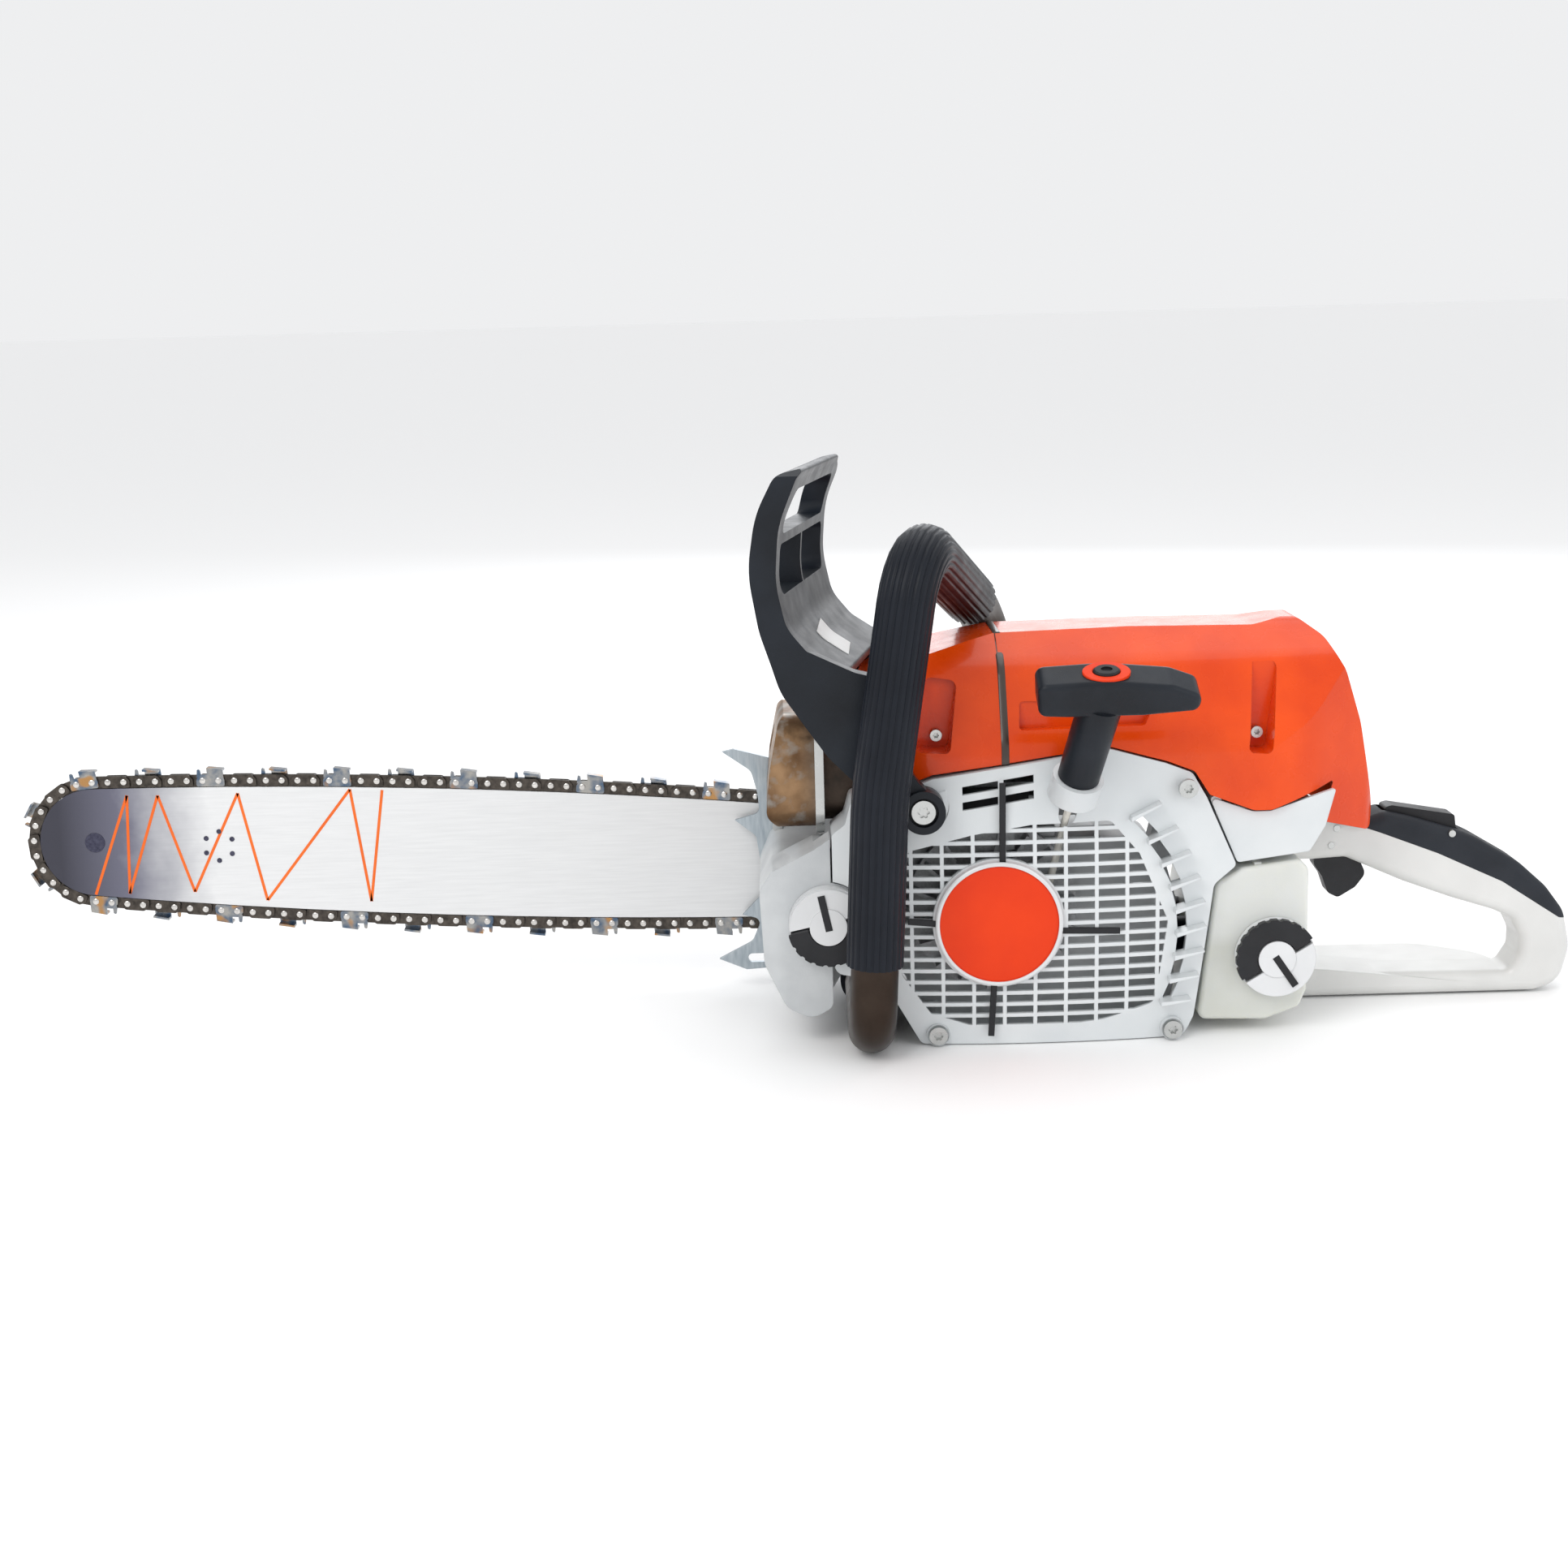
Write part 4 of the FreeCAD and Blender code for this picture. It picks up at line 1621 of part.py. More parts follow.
# ---------------------------------------------------------------- write every piece
def cutting_nodes():
    nodes = {
        "guide_bar": guide_bar(),
        "nose_sprocket": group([nose_sprocket(), bar_rivets()]),
        "spike_plate": spike_plate(),
        "bar_nuts": group([bar_studs(), bar_nuts()]),
        "chain_tensioner": chain_tensioner(),
        "chain_catcher": chain_catcher(),
        "clutch_drum": clutch_drum(),
        "rim_sprocket": rim_sprocket(),
        "brake_band": brake_band(),
        "clutch": group([clutch_hub(), clutch_shoes()]),
        "sprocket_cover": sprocket_cover(),
        "oil_pump": oil_pump(),
    }
    nodes.update(chain_nodes())
    return nodes


def engine_nodes():
    return {
        "crankcase": crankcase(),
        "crankshaft": crankshaft(),
        "shaft_bearings": group([main_bearings(), needle_cage(), shaft_seals()]),
        "connecting_rod": connecting_rod(),
        "rod_pins": group([wrist_pin(), crank_pin()]),
        "piston": piston(),
        "piston_rings": piston_rings(),
        "cylinder": cylinder_block(),
        "spark_plug": group([spark_plug(), plug_boot()]),
        "ignition_module": ignition_module(),
        "muffler_front": muffler_front_half(),
        "muffler_rear": muffler_rear_half(),
        "muffler_seam": muffler_seam(),
        "intake_boot": intake_boot(),
        "carburettor": carburettor(),
        "throttle_shaft": throttle_shaft(),
        "air_filter": air_filter(),
        "airbox": group([airbox(), filter_duct()]),
        "fuel_tank": fuel_tank(),
        "fuel_cap": cap_body(fuel_cap_at, fuel_cap_seat, fuel_cap_lean),
        "fuel_cap_bail": cap_bail(fuel_cap_at, fuel_cap_seat, fuel_cap_lean),
        "oil_cap": cap_body(oil_cap_at, oil_cap_seat, oil_cap_lean),
        "oil_cap_bail": cap_bail(oil_cap_at, oil_cap_seat, oil_cap_lean),
    }


def starter_nodes():
    return {
        "fan_housing": fan_housing(),
        "badge": badge(),
        "flywheel": flywheel(),
        "starter_pawls": group([starter_pawls(), flywheel_nut()]),
        "starter_rotor": starter_rotor(),
        "rewind_spring": rewind_spring(),
        "starter_rope": starter_rope(),
        "starter_grip": starter_grip(),
    }


def body_nodes():
    return {
        "front_cover": front_cover(),
        "rear_cover": rear_cover(),
        "star_screws": group([housing_screws(), cover_screws(), spike_bolts(), guard_screws()]),
        "rear_handle": rear_handle(),
        "grip_insert": grip_insert(),
        "handle_pins": handle_pins(),
        "throttle_trigger": throttle_trigger(),
        "lockout_lever": lockout_lever(),
        "control_lever": control_lever(),
        "front_handle": front_handle(),
        "handle_sleeve": handle_sleeve(),
        "buffer_mounts": group([handle_mounts(), av_springs()]),
        "hand_guard": hand_guard(),
    }


def main():
    os.makedirs("parts", exist_ok=True)
    nodes = {}
    for section in (cutting_nodes, engine_nodes, starter_nodes, body_nodes):
        nodes.update(section())
    for name, shape in nodes.items():
        shape.exportStep("parts/" + name + ".step")
        print(name, "solids", len(shape.Solids), "volume", round(shape.Volume), "valid", shape.isValid())
    print(len(nodes), "nodes")


main()
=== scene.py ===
# %% Load the frame
import math

import bmesh
import bpy
from mathutils.bvhtree import BVHTree
from mathutils import Matrix, Quaternion, Vector


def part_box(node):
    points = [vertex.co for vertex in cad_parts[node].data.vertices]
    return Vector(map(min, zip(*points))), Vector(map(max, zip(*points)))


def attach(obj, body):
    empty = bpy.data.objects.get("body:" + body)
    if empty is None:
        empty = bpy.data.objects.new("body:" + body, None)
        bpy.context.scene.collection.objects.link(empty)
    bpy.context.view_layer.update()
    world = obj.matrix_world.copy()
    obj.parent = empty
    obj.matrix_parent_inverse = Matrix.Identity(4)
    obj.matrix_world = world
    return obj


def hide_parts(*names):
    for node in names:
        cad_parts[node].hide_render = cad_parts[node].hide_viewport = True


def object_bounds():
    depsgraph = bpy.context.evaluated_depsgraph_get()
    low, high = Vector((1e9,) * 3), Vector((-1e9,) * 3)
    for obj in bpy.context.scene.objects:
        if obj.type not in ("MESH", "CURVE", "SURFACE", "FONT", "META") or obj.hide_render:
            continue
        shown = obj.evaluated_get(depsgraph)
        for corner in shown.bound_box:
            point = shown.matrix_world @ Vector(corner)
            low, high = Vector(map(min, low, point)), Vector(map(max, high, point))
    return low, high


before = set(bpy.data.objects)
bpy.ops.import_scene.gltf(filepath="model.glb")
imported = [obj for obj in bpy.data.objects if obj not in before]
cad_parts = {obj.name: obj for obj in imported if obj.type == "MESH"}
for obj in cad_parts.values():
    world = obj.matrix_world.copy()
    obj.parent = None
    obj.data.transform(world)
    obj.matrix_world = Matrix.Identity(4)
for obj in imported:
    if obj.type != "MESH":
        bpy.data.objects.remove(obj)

cad_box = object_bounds()
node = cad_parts
print("CAD pieces:", len(node))

# %% [markdown]
# # A petrol chainsaw
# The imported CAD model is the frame: every node already sits where it belongs, in metres.
# This lesson gives each node a finish made of shader nodes, replaces the few pieces whose
# look needs finer geometry, and adds trim such as sight lines, a label and cap marks.

# %% [markdown]
# ## Camera and light
# A long lens a little above the saw, turned by a degree and a half, shows bar and body in
# true proportion. Big soft lamps are used because satin steel and moulded plastic look
# right only with broad, gentle reflections. The floor is a plain pale plane.

# %% Camera
aim = Vector((-0.1164, 0.046, 0.1253))
stand = Vector((-0.1164, -1.2745, 0.4060))
roll = math.radians(-1.6)
lens_data = bpy.data.cameras.new("lens")
lens_data.sensor_width = 36.0
lens_data.lens = 51.3
camera = bpy.data.objects.new("camera", lens_data)
bpy.context.scene.collection.objects.link(camera)
camera.location = stand
camera.rotation_mode = "QUATERNION"
camera.rotation_quaternion = (aim - stand).to_track_quat("-Z", "Y") @ Quaternion((0, 0, 1), roll)
bpy.context.scene.camera = camera
bpy.context.scene.view_settings.view_transform = "Standard"
print("camera stands", round((aim - stand).length, 3), "m away")

# %% Lamps, sky and floor
def soft_lamp(name, place, size, power, tint=(1.0, 1.0, 1.0)):
    """Square area lamp that points at the middle of the saw."""
    data = bpy.data.lights.new(name, "AREA")
    data.size = size
    data.energy = power
    data.color = tint
    lamp = bpy.data.objects.new(name, data)
    lamp.location = place
    lamp.rotation_euler = (aim - Vector(place)).to_track_quat("-Z", "Y").to_euler()
    bpy.context.scene.collection.objects.link(lamp)
    return lamp


soft_lamp("key", (-1.2, -1.7, 1.9), 1.3, 22.0, (1.0, 0.985, 0.96))
soft_lamp("fill", (1.7, -1.5, 0.9), 1.5, 7.0, (0.94, 0.97, 1.0))
soft_lamp("top", (0.2, 0.5, 2.2), 1.6, 10.0)
soft_lamp("rim", (0.3, 2.0, 1.1), 1.4, 9.0, (0.95, 0.97, 1.0))

sky = bpy.data.worlds.new("sky")
sky.use_nodes = True
sky.node_tree.nodes["Background"].inputs["Color"].default_value = (0.975, 0.98, 0.99, 1.0)
sky.node_tree.nodes["Background"].inputs["Strength"].default_value = 0.88
bpy.context.scene.world = sky

floor_mesh = bpy.data.meshes.new("floor")
reach = 80.0
floor_mesh.from_pydata([(-reach, -reach, 0), (reach, -reach, 0), (reach, reach, 0), (-reach, reach, 0)],
                       [], [(0, 1, 2, 3)])
floor = bpy.data.objects.new("floor", floor_mesh)
floor.location.z = cad_box[0][2] - 0.0002
floor_paint = bpy.data.materials.new("floor_paint")
floor_paint.use_nodes = True
floor_paint.node_tree.nodes["Principled BSDF"].inputs["Base Color"].default_value = (0.97, 0.97, 0.97, 1.0)
floor_paint.node_tree.nodes["Principled BSDF"].inputs["Roughness"].default_value = 0.7
floor_mesh.materials.append(floor_paint)
bpy.context.scene.collection.objects.link(floor)
print("lamps and floor stand")

# %% [markdown]
# ## A small kit for finishes
# Every finish is one Principled shader with a few helpers: fine grain, slow colour change,
# brushed lines and a soft edge. All patterns read Object coordinates, so they stay where
# they are on the piece whatever the camera does.

# %% Finish kit
class Finish:
    """One material: a Principled shader and short calls that add what feeds it."""

    def __init__(self, name, metallic=0.0, roughness=0.5, coat=0.0, specular=0.5):
        self.material = bpy.data.materials.new(name)
        self.material.use_nodes = True
        self.tree = self.material.node_tree
        self.shader = self.tree.nodes["Principled BSDF"]
        self.shader.inputs["Metallic"].default_value = metallic
        self.shader.inputs["Roughness"].default_value = roughness
        self.shader.inputs["Coat Weight"].default_value = coat
        self.shader.inputs["Specular IOR Level"].default_value = specular
        self.where = self.tree.nodes.new("ShaderNodeTexCoord").outputs["Object"]

    def wire(self, value, socket):
        if isinstance(value, (int, float)):
            socket.default_value = value
        elif isinstance(value, tuple):
            socket.default_value = value if len(value) == 4 else value + (1.0,)
        else:
            self.tree.links.new(value, socket)

    def noise(self, size, detail=3.0, stretch=(1.0, 1.0, 1.0)):
        """Noise whose blotches are about size metres across."""
        spread = self.tree.nodes.new("ShaderNodeMapping")
        spread.inputs["Scale"].default_value = tuple(s / size for s in stretch)
        self.tree.links.new(self.where, spread.inputs["Vector"])
        cloud = self.tree.nodes.new("ShaderNodeTexNoise")
        cloud.inputs["Scale"].default_value = 1.0
        cloud.inputs["Detail"].default_value = detail
        self.tree.links.new(spread.outputs["Vector"], cloud.inputs["Vector"])
        return cloud.outputs["Fac"]

    def stretch(self, value, low, high, to_low=0.0, to_high=1.0):
        """Maps low..high of a value to to_low..to_high, held at its ends."""
        step = self.tree.nodes.new("ShaderNodeMapRange")
        for name, number in (("From Min", low), ("From Max", high), ("To Min", to_low), ("To Max", to_high)):
            step.inputs[name].default_value = number
        self.tree.links.new(value, step.inputs["Value"])
        return step.outputs["Result"]

    def sum(self, operation, a, b=0.0):
        step = self.tree.nodes.new("ShaderNodeMath")
        step.operation = operation
        self.wire(a, step.inputs[0])
        self.wire(b, step.inputs[1])
        return step.outputs["Value"]

    def axis(self, name):
        parts = self.tree.nodes.new("ShaderNodeSeparateXYZ")
        self.tree.links.new(self.where, parts.inputs["Vector"])
        return parts.outputs[name]

    def blend(self, factor, a, b):
        step = self.tree.nodes.new("ShaderNodeMix")
        step.data_type = "RGBA"
        self.wire(factor, step.inputs["Factor"])
        self.wire(a, step.inputs["A"])
        self.wire(b, step.inputs["B"])
        return step.outputs["Result"]

    def colour(self, value):
        self.wire(value, self.shader.inputs["Base Color"])
        return self

    def rough(self, value):
        self.wire(value, self.shader.inputs["Roughness"])
        return self

    def relief(self, height, depth, edge=0.0):
        """Bump of depth metres; edge rounds the shading of sharp corners by that radius."""
        bump = self.tree.nodes.new("ShaderNodeBump")
        bump.inputs["Distance"].default_value = depth
        self.wire(height, bump.inputs["Height"])
        if edge:
            bevel = self.tree.nodes.new("ShaderNodeBevel")
            bevel.samples = 3
            bevel.inputs["Radius"].default_value = edge
            self.tree.links.new(bevel.outputs["Normal"], bump.inputs["Normal"])
        self.tree.links.new(bump.outputs["Normal"], self.shader.inputs["Normal"])
        return self


# %% [markdown]
# ## Moulded plastics
# Shells, guard and handles are injection mouldings. A real moulding is never one flat tone:
# its colour drifts slightly with wall thickness and the mould leaves a fine grain. The glossy
# covers have a clear, wet look, so they get a coat; the guard and levers have a coarser grain.

# %% Plastics
def moulded(name, dark, light, roughness, grain, depth, coat=0.0, edge=0.0006, specular=0.5):
    """Plastic whose tone drifts between dark and light, with a fine mould grain."""
    f = Finish(name, roughness=roughness, coat=coat, specular=specular)
    f.shader.inputs["Coat Roughness"].default_value = 0.08
    drift = f.stretch(f.noise(0.045, 4.0), 0.35, 0.65)
    f.colour(f.blend(drift, dark, light))
    f.rough(f.stretch(f.noise(0.012, 3.0), 0.3, 0.7, roughness - 0.05, roughness + 0.06))
    f.relief(f.noise(grain, 2.0), depth, edge)
    return f.material


housing_grey = moulded("housing_grey", (0.63, 0.66, 0.675), (0.69, 0.715, 0.725), 0.33, 0.0009, 0.00003, 0.35)
handle_grey = moulded("handle_grey", (0.64, 0.64, 0.625), (0.70, 0.70, 0.685), 0.38, 0.0008, 0.00003, 0.2)
cover_orange = moulded("cover_orange", (0.68, 0.050, 0.001), (0.80, 0.072, 0.0015), 0.28, 0.0010, 0.00002,
                       coat=0.25, specular=0.22)
badge_orange = moulded("badge_orange", (0.72, 0.036, 0.002), (0.79, 0.046, 0.002), 0.45, 0.0006, 0.00002,
                       specular=0.25)
charcoal = moulded("charcoal", (0.007, 0.009, 0.013), (0.013, 0.017, 0.024), 0.38, 0.00055, 0.00007,
                   specular=0.25)
lever_black = moulded("lever_black", (0.005, 0.005, 0.007), (0.011, 0.012, 0.015), 0.42, 0.0006, 0.00005,
                      specular=0.4)
grip_soft = moulded("grip_soft", (0.010, 0.013, 0.019), (0.018, 0.022, 0.030), 0.60, 0.0005, 0.00009,
                    specular=0.35)
cap_white = moulded("cap_white", (0.66, 0.67, 0.68), (0.74, 0.75, 0.76), 0.34, 0.0007, 0.00002, 0.3)
seam_smoke = moulded("seam_smoke", (0.030, 0.018, 0.013), (0.055, 0.032, 0.022), 0.30, 0.0020, 0.00002, 0.3)
print("plastics mixed")

# %% Rubber, tank and fleece
rubber = moulded("rubber", (0.004, 0.006, 0.011), (0.009, 0.012, 0.019), 0.40, 0.0004, 0.00005,
                 edge=0.0, specular=0.22)

tank_finish = Finish("milky_tank", roughness=0.34)
tank_finish.shader.inputs["Subsurface Weight"].default_value = 0.35
tank_finish.shader.inputs["Subsurface Radius"].default_value = (0.012, 0.011, 0.008)
tank_finish.shader.inputs["Subsurface Scale"].default_value = 1.0
fuel_line = tank_finish.stretch(tank_finish.axis("Z"), 0.050, 0.058)
walls = tank_finish.blend(fuel_line, (0.60, 0.61, 0.55), (0.70, 0.71, 0.67))
tank_finish.colour(tank_finish.blend(tank_finish.stretch(tank_finish.noise(0.03, 3.0), 0.3, 0.7), walls,
                                     (0.66, 0.67, 0.62)))
tank_finish.relief(tank_finish.noise(0.0012, 2.0), 0.00005, 0.0008)

fleece = Finish("filter_fleece", roughness=0.95)
fleece.colour(fleece.blend(fleece.noise(0.002, 4.0), (0.60, 0.57, 0.48), (0.76, 0.73, 0.64)))
fleece.relief(fleece.noise(0.0006, 5.0), 0.0004)

braid = Finish("rope_braid", roughness=0.85)
strands = braid.noise(0.0012, 2.0, (1.0, 1.0, 0.4))
braid.colour(braid.blend(strands, (0.55, 0.53, 0.48), (0.78, 0.76, 0.70)))
braid.relief(strands, 0.0003)
print("soft finishes mixed")

# %% [markdown]
# ## Metals
# The saw shows many kinds of metal: ground lacquered steel, browned chain links, hard chrome
# teeth, zinc-plated screws, cast alloy and a heat-tinted exhaust. Each gets its own base colour,
# and brushed or cast relief at the size that a hand lens would show.

# %% Plain metals
def metal(name, dark, light, roughness, size=0.004, depth=0.00002, stretch=(1.0, 1.0, 1.0), edge=0.0003):
    """Metal with patches of two tones; stretch below 1 along an axis draws brushed lines on it."""
    f = Finish(name, metallic=1.0, roughness=roughness)
    patches = f.noise(size, 4.0, stretch)
    f.colour(f.blend(f.stretch(patches, 0.3, 0.7), dark, light))
    f.rough(f.stretch(patches, 0.25, 0.75, roughness - 0.07, roughness + 0.1))
    f.relief(patches, depth, edge)
    return f.material


chain_steel = metal("chain_steel", (0.045, 0.040, 0.036), (0.11, 0.095, 0.082), 0.40, 0.003)
rivet_steel = metal("rivet_steel", (0.52, 0.50, 0.48), (0.72, 0.70, 0.67), 0.22, 0.002)
nose_steel = metal("nose_steel", (0.045, 0.045, 0.070), (0.085, 0.085, 0.125), 0.32, 0.002)
spike_steel = metal("spike_steel", (0.33, 0.38, 0.42), (0.50, 0.55, 0.58), 0.34, 0.002, 0.00002, (1.0, 1.0, 0.15))
zinc_steel = metal("zinc_steel", (0.50, 0.51, 0.50), (0.58, 0.59, 0.58), 0.28, 0.006, 0.00001)
engine_steel = metal("engine_steel", (0.36, 0.36, 0.36), (0.52, 0.52, 0.52), 0.35, 0.002)
spring_steel = metal("spring_steel", (0.10, 0.12, 0.16), (0.20, 0.22, 0.27), 0.35, 0.002)
cast_alloy = metal("cast_alloy", (0.40, 0.41, 0.42), (0.55, 0.56, 0.57), 0.55, 0.0012, 0.00012)
tube_finish = metal("tube_lacquer", (0.040, 0.029, 0.023), (0.052, 0.038, 0.030), 0.34, 0.012)
dark_sheet = metal("dark_sheet", (0.055, 0.045, 0.038), (0.13, 0.10, 0.08), 0.48, 0.008)

casting = Finish("painted_casting", roughness=0.42, coat=0.25)
casting.colour(casting.blend(casting.stretch(casting.noise(0.03, 4.0), 0.35, 0.65), (0.48, 0.50, 0.515),
                             (0.58, 0.60, 0.61)))
casting.relief(casting.noise(0.0016, 3.0), 0.00010, 0.0008)
print("metals mixed")

# %% Chrome teeth
chrome = Finish("cutter_chrome", metallic=1.0, roughness=0.22)
heat = chrome.stretch(chrome.noise(0.007, 2.0), 0.35, 0.65)
blued = chrome.blend(heat, (0.08, 0.12, 0.18), (0.34, 0.33, 0.31))
chrome.colour(chrome.blend(chrome.stretch(chrome.noise(0.011, 1.0), 0.56, 0.66), blued, (0.40, 0.22, 0.09)))
chrome.relief(chrome.noise(0.0012, 3.0, (0.2, 1.0, 1.0)), 0.00002, 0.0003)

# %% [markdown]
# ## The exhaust
# Thin sheet that runs hot turns straw, bronze and brown. Two clouds of different size are laid
# over each other so that the colours drift the way heat does, from the rear edge forward.

# %% Heat-tinted sheet
bronze = Finish("heat_bronze", metallic=1.0, roughness=0.38)
straw = bronze.blend(bronze.stretch(bronze.noise(0.022, 4.0), 0.35, 0.65), (0.12, 0.065, 0.034),
                     (0.34, 0.21, 0.115))
ash = bronze.blend(bronze.stretch(bronze.noise(0.012, 5.0), 0.52, 0.70), straw, (0.34, 0.32, 0.29))
toward_seam = bronze.stretch(bronze.axis("X"), -0.108, -0.096)
bronze.colour(bronze.blend(toward_seam, ash, (0.16, 0.12, 0.09)))
bronze.rough(bronze.stretch(bronze.noise(0.006, 4.0), 0.3, 0.7, 0.30, 0.55))
bronze.relief(bronze.noise(0.003, 4.0), 0.00008, 0.0008)

# %% [markdown]
# ## The guide bar
# The bar is ground steel under a pale lacquer, darker and violet towards the nose. The tint
# follows the bar's length, so it reads the X coordinate; faint lines along X are the grinding.

# %% Bar lacquer
bar_low, bar_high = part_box("guide_bar")
bar = Finish("bar_lacquer", metallic=0.15, roughness=0.36)
grinding = bar.noise(0.0012, 3.0, (0.05, 1.0, 1.0))
pale = bar.blend(bar.stretch(grinding, 0.3, 0.7), (0.68, 0.685, 0.69), (0.73, 0.735, 0.74))
nose_tint = bar.blend(bar.stretch(bar.axis("X"), bar_low[0] + 0.012, bar_low[0] + 0.052), (0.030, 0.030, 0.046),
                      (0.13, 0.13, 0.18))
to_nose = bar.stretch(bar.sum("ADD", bar.axis("X"), bar.stretch(bar.noise(0.02, 3.0), 0.3, 0.7, -0.006, 0.006)),
                      bar_low[0] + 0.050, bar_low[0] + 0.105)
bar.colour(bar.blend(to_nose, nose_tint, pale))
bar.rough(bar.stretch(grinding, 0.3, 0.7, 0.28, 0.40))
bar.relief(grinding, 0.00001, 0.0004)

# %% [markdown]
# ## Dressing the CAD nodes
# Each node keeps its CAD shape and takes a finish by name. A dictionary keeps the pairs in
# one place, so a change of finish is one word.

# %% Finishes by node
dress = {
    "guide_bar": bar.material, "nose_sprocket": nose_steel, "spike_plate": spike_steel, "bar_nuts": zinc_steel,
    "chain_tensioner": zinc_steel, "chain_catcher": lever_black, "clutch_drum": engine_steel,
    "rim_sprocket": engine_steel, "brake_band": spring_steel, "clutch": dark_sheet,
    "sprocket_cover": casting.material,
    "oil_pump": lever_black, "chain_drive_links": chain_steel, "chain_tie_straps": chain_steel,
    "chain_cutters": chrome.material, "chain_rivets": rivet_steel, "crankcase": casting.material,
    "crankshaft": engine_steel, "shaft_bearings": engine_steel, "connecting_rod": engine_steel,
    "rod_pins": engine_steel, "piston": cast_alloy, "piston_rings": engine_steel, "cylinder": cast_alloy,
    "spark_plug": rubber, "ignition_module": lever_black, "muffler_front": bronze.material,
    "muffler_rear": dark_sheet, "muffler_seam": zinc_steel, "intake_boot": rubber, "carburettor": cast_alloy,
    "throttle_shaft": zinc_steel, "air_filter": fleece.material, "airbox": housing_grey,
    "fuel_tank": tank_finish.material, "fuel_cap": cap_white, "fuel_cap_bail": lever_black, "oil_cap": cap_white,
    "oil_cap_bail": lever_black, "fan_housing": housing_grey, "badge": badge_orange, "flywheel": cast_alloy,
    "starter_pawls": zinc_steel, "starter_rotor": lever_black, "rewind_spring": spring_steel,
    "starter_rope": braid.material, "starter_grip": charcoal, "front_cover": cover_orange,
    "rear_cover": cover_orange, "star_screws": zinc_steel, "rear_handle": handle_grey, "grip_insert": grip_soft,
    "handle_pins": zinc_steel, "throttle_trigger": lever_black, "lockout_lever": lever_black,
    "control_lever": lever_black, "front_handle": tube_finish, "handle_sleeve": rubber, "buffer_mounts": rubber,
    "hand_guard": charcoal,
}
for name, finish in dress.items():
    slots = node[name].data.materials
    slots.clear()
    slots.append(finish)
print("dressed", len(dress), "of", len(node), "nodes")

# %% [markdown]
# ## Helpers for new meshes
# New pieces are built straight in world metres, so their objects stay at the origin. A
# Geometry Nodes tree is turned into a plain mesh before it is handed to its body, because an
# export keeps only real faces.

# %% Mesh helpers
def piece(name, mesh, finish, body):
    """Links a finished mesh as one object that rides on a body."""
    thing = bpy.data.objects.new(name, mesh)
    bpy.context.scene.collection.objects.link(thing)
    if finish is not None:
        mesh.materials.clear()
        mesh.materials.append(finish)
    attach(thing, body)
    print(name, len(mesh.polygons), "faces")
    return thing


def mesh_from(name, build, smooth=35.0):
    """Runs build(bm) on an empty bmesh, turns faces outwards and smooths the soft ones."""
    bm = bmesh.new()
    build(bm)
    bmesh.ops.recalc_face_normals(bm, faces=bm.faces)
    limit = math.radians(smooth)
    for face in bm.faces:
        face.smooth = True
    for edge in bm.edges:
        edge.smooth = len(edge.link_faces) == 2 and edge.calc_face_angle(0.0) < limit
    mesh = bpy.data.meshes.new(name)
    bm.to_mesh(mesh)
    bm.free()
    return mesh


def lathe(bm, outline, steps, turn):
    """Turns (radius, height) points about Z and places the closed result with matrix turn."""
    rings = []
    for radius, height in outline:
        if radius < 1e-7:
            rings.append([bm.verts.new(turn @ Vector((0, 0, height)))])
        else:
            angles = [2 * math.pi * k / steps for k in range(steps)]
            rings.append([bm.verts.new(turn @ Vector((radius * math.cos(a), radius * math.sin(a), height)))
                          for a in angles])
    for low, high in zip(rings, rings[1:] + rings[:1]):
        for k in range(steps):
            corners = [low[k % len(low)], low[(k + 1) % len(low)], high[(k + 1) % len(high)], high[k % len(high)]]
            unique = list(dict.fromkeys(corners))
            if len(unique) > 2:
                bm.faces.new(unique)


def prism(bm, outline, turn, y0, y1, chamfer=0.0):
    """Plate with an (x, z) outline between two heights, with a small chamfer at y0's rim."""
    centre = Vector((sum(p[0] for p in outline) / len(outline), 0, sum(p[1] for p in outline) / len(outline)))
    layers = []
    for y, pull in ((y1, 0.0), (y0 + (chamfer if y0 < y1 else -chamfer), 0.0), (y0, chamfer)):
        ring = []
        for x, z in outline:
            spot = Vector((x, 0, z))
            inward = (centre - spot).normalized() * pull if pull else Vector()
            ring.append(bm.verts.new(turn @ (spot + inward + Vector((0, y, 0)))))
        layers.append(ring)
    count = len(outline)
    for low, high in zip(layers, layers[1:]):
        for k in range(count):
            bm.faces.new([low[k], low[(k + 1) % count], high[(k + 1) % count], high[k]])
    bm.faces.new(layers[0][::-1])
    bm.faces.new(layers[-1])


# %% [markdown]
# ## Rubber on the front handle
# The hose over the front handle has grooves along its length, which a texture would smear
# round the bends. A Geometry Nodes tree sweeps a fluted ring along the handle's line: the ring
# is a circle whose points are pushed out where the cosine of their angle is high.

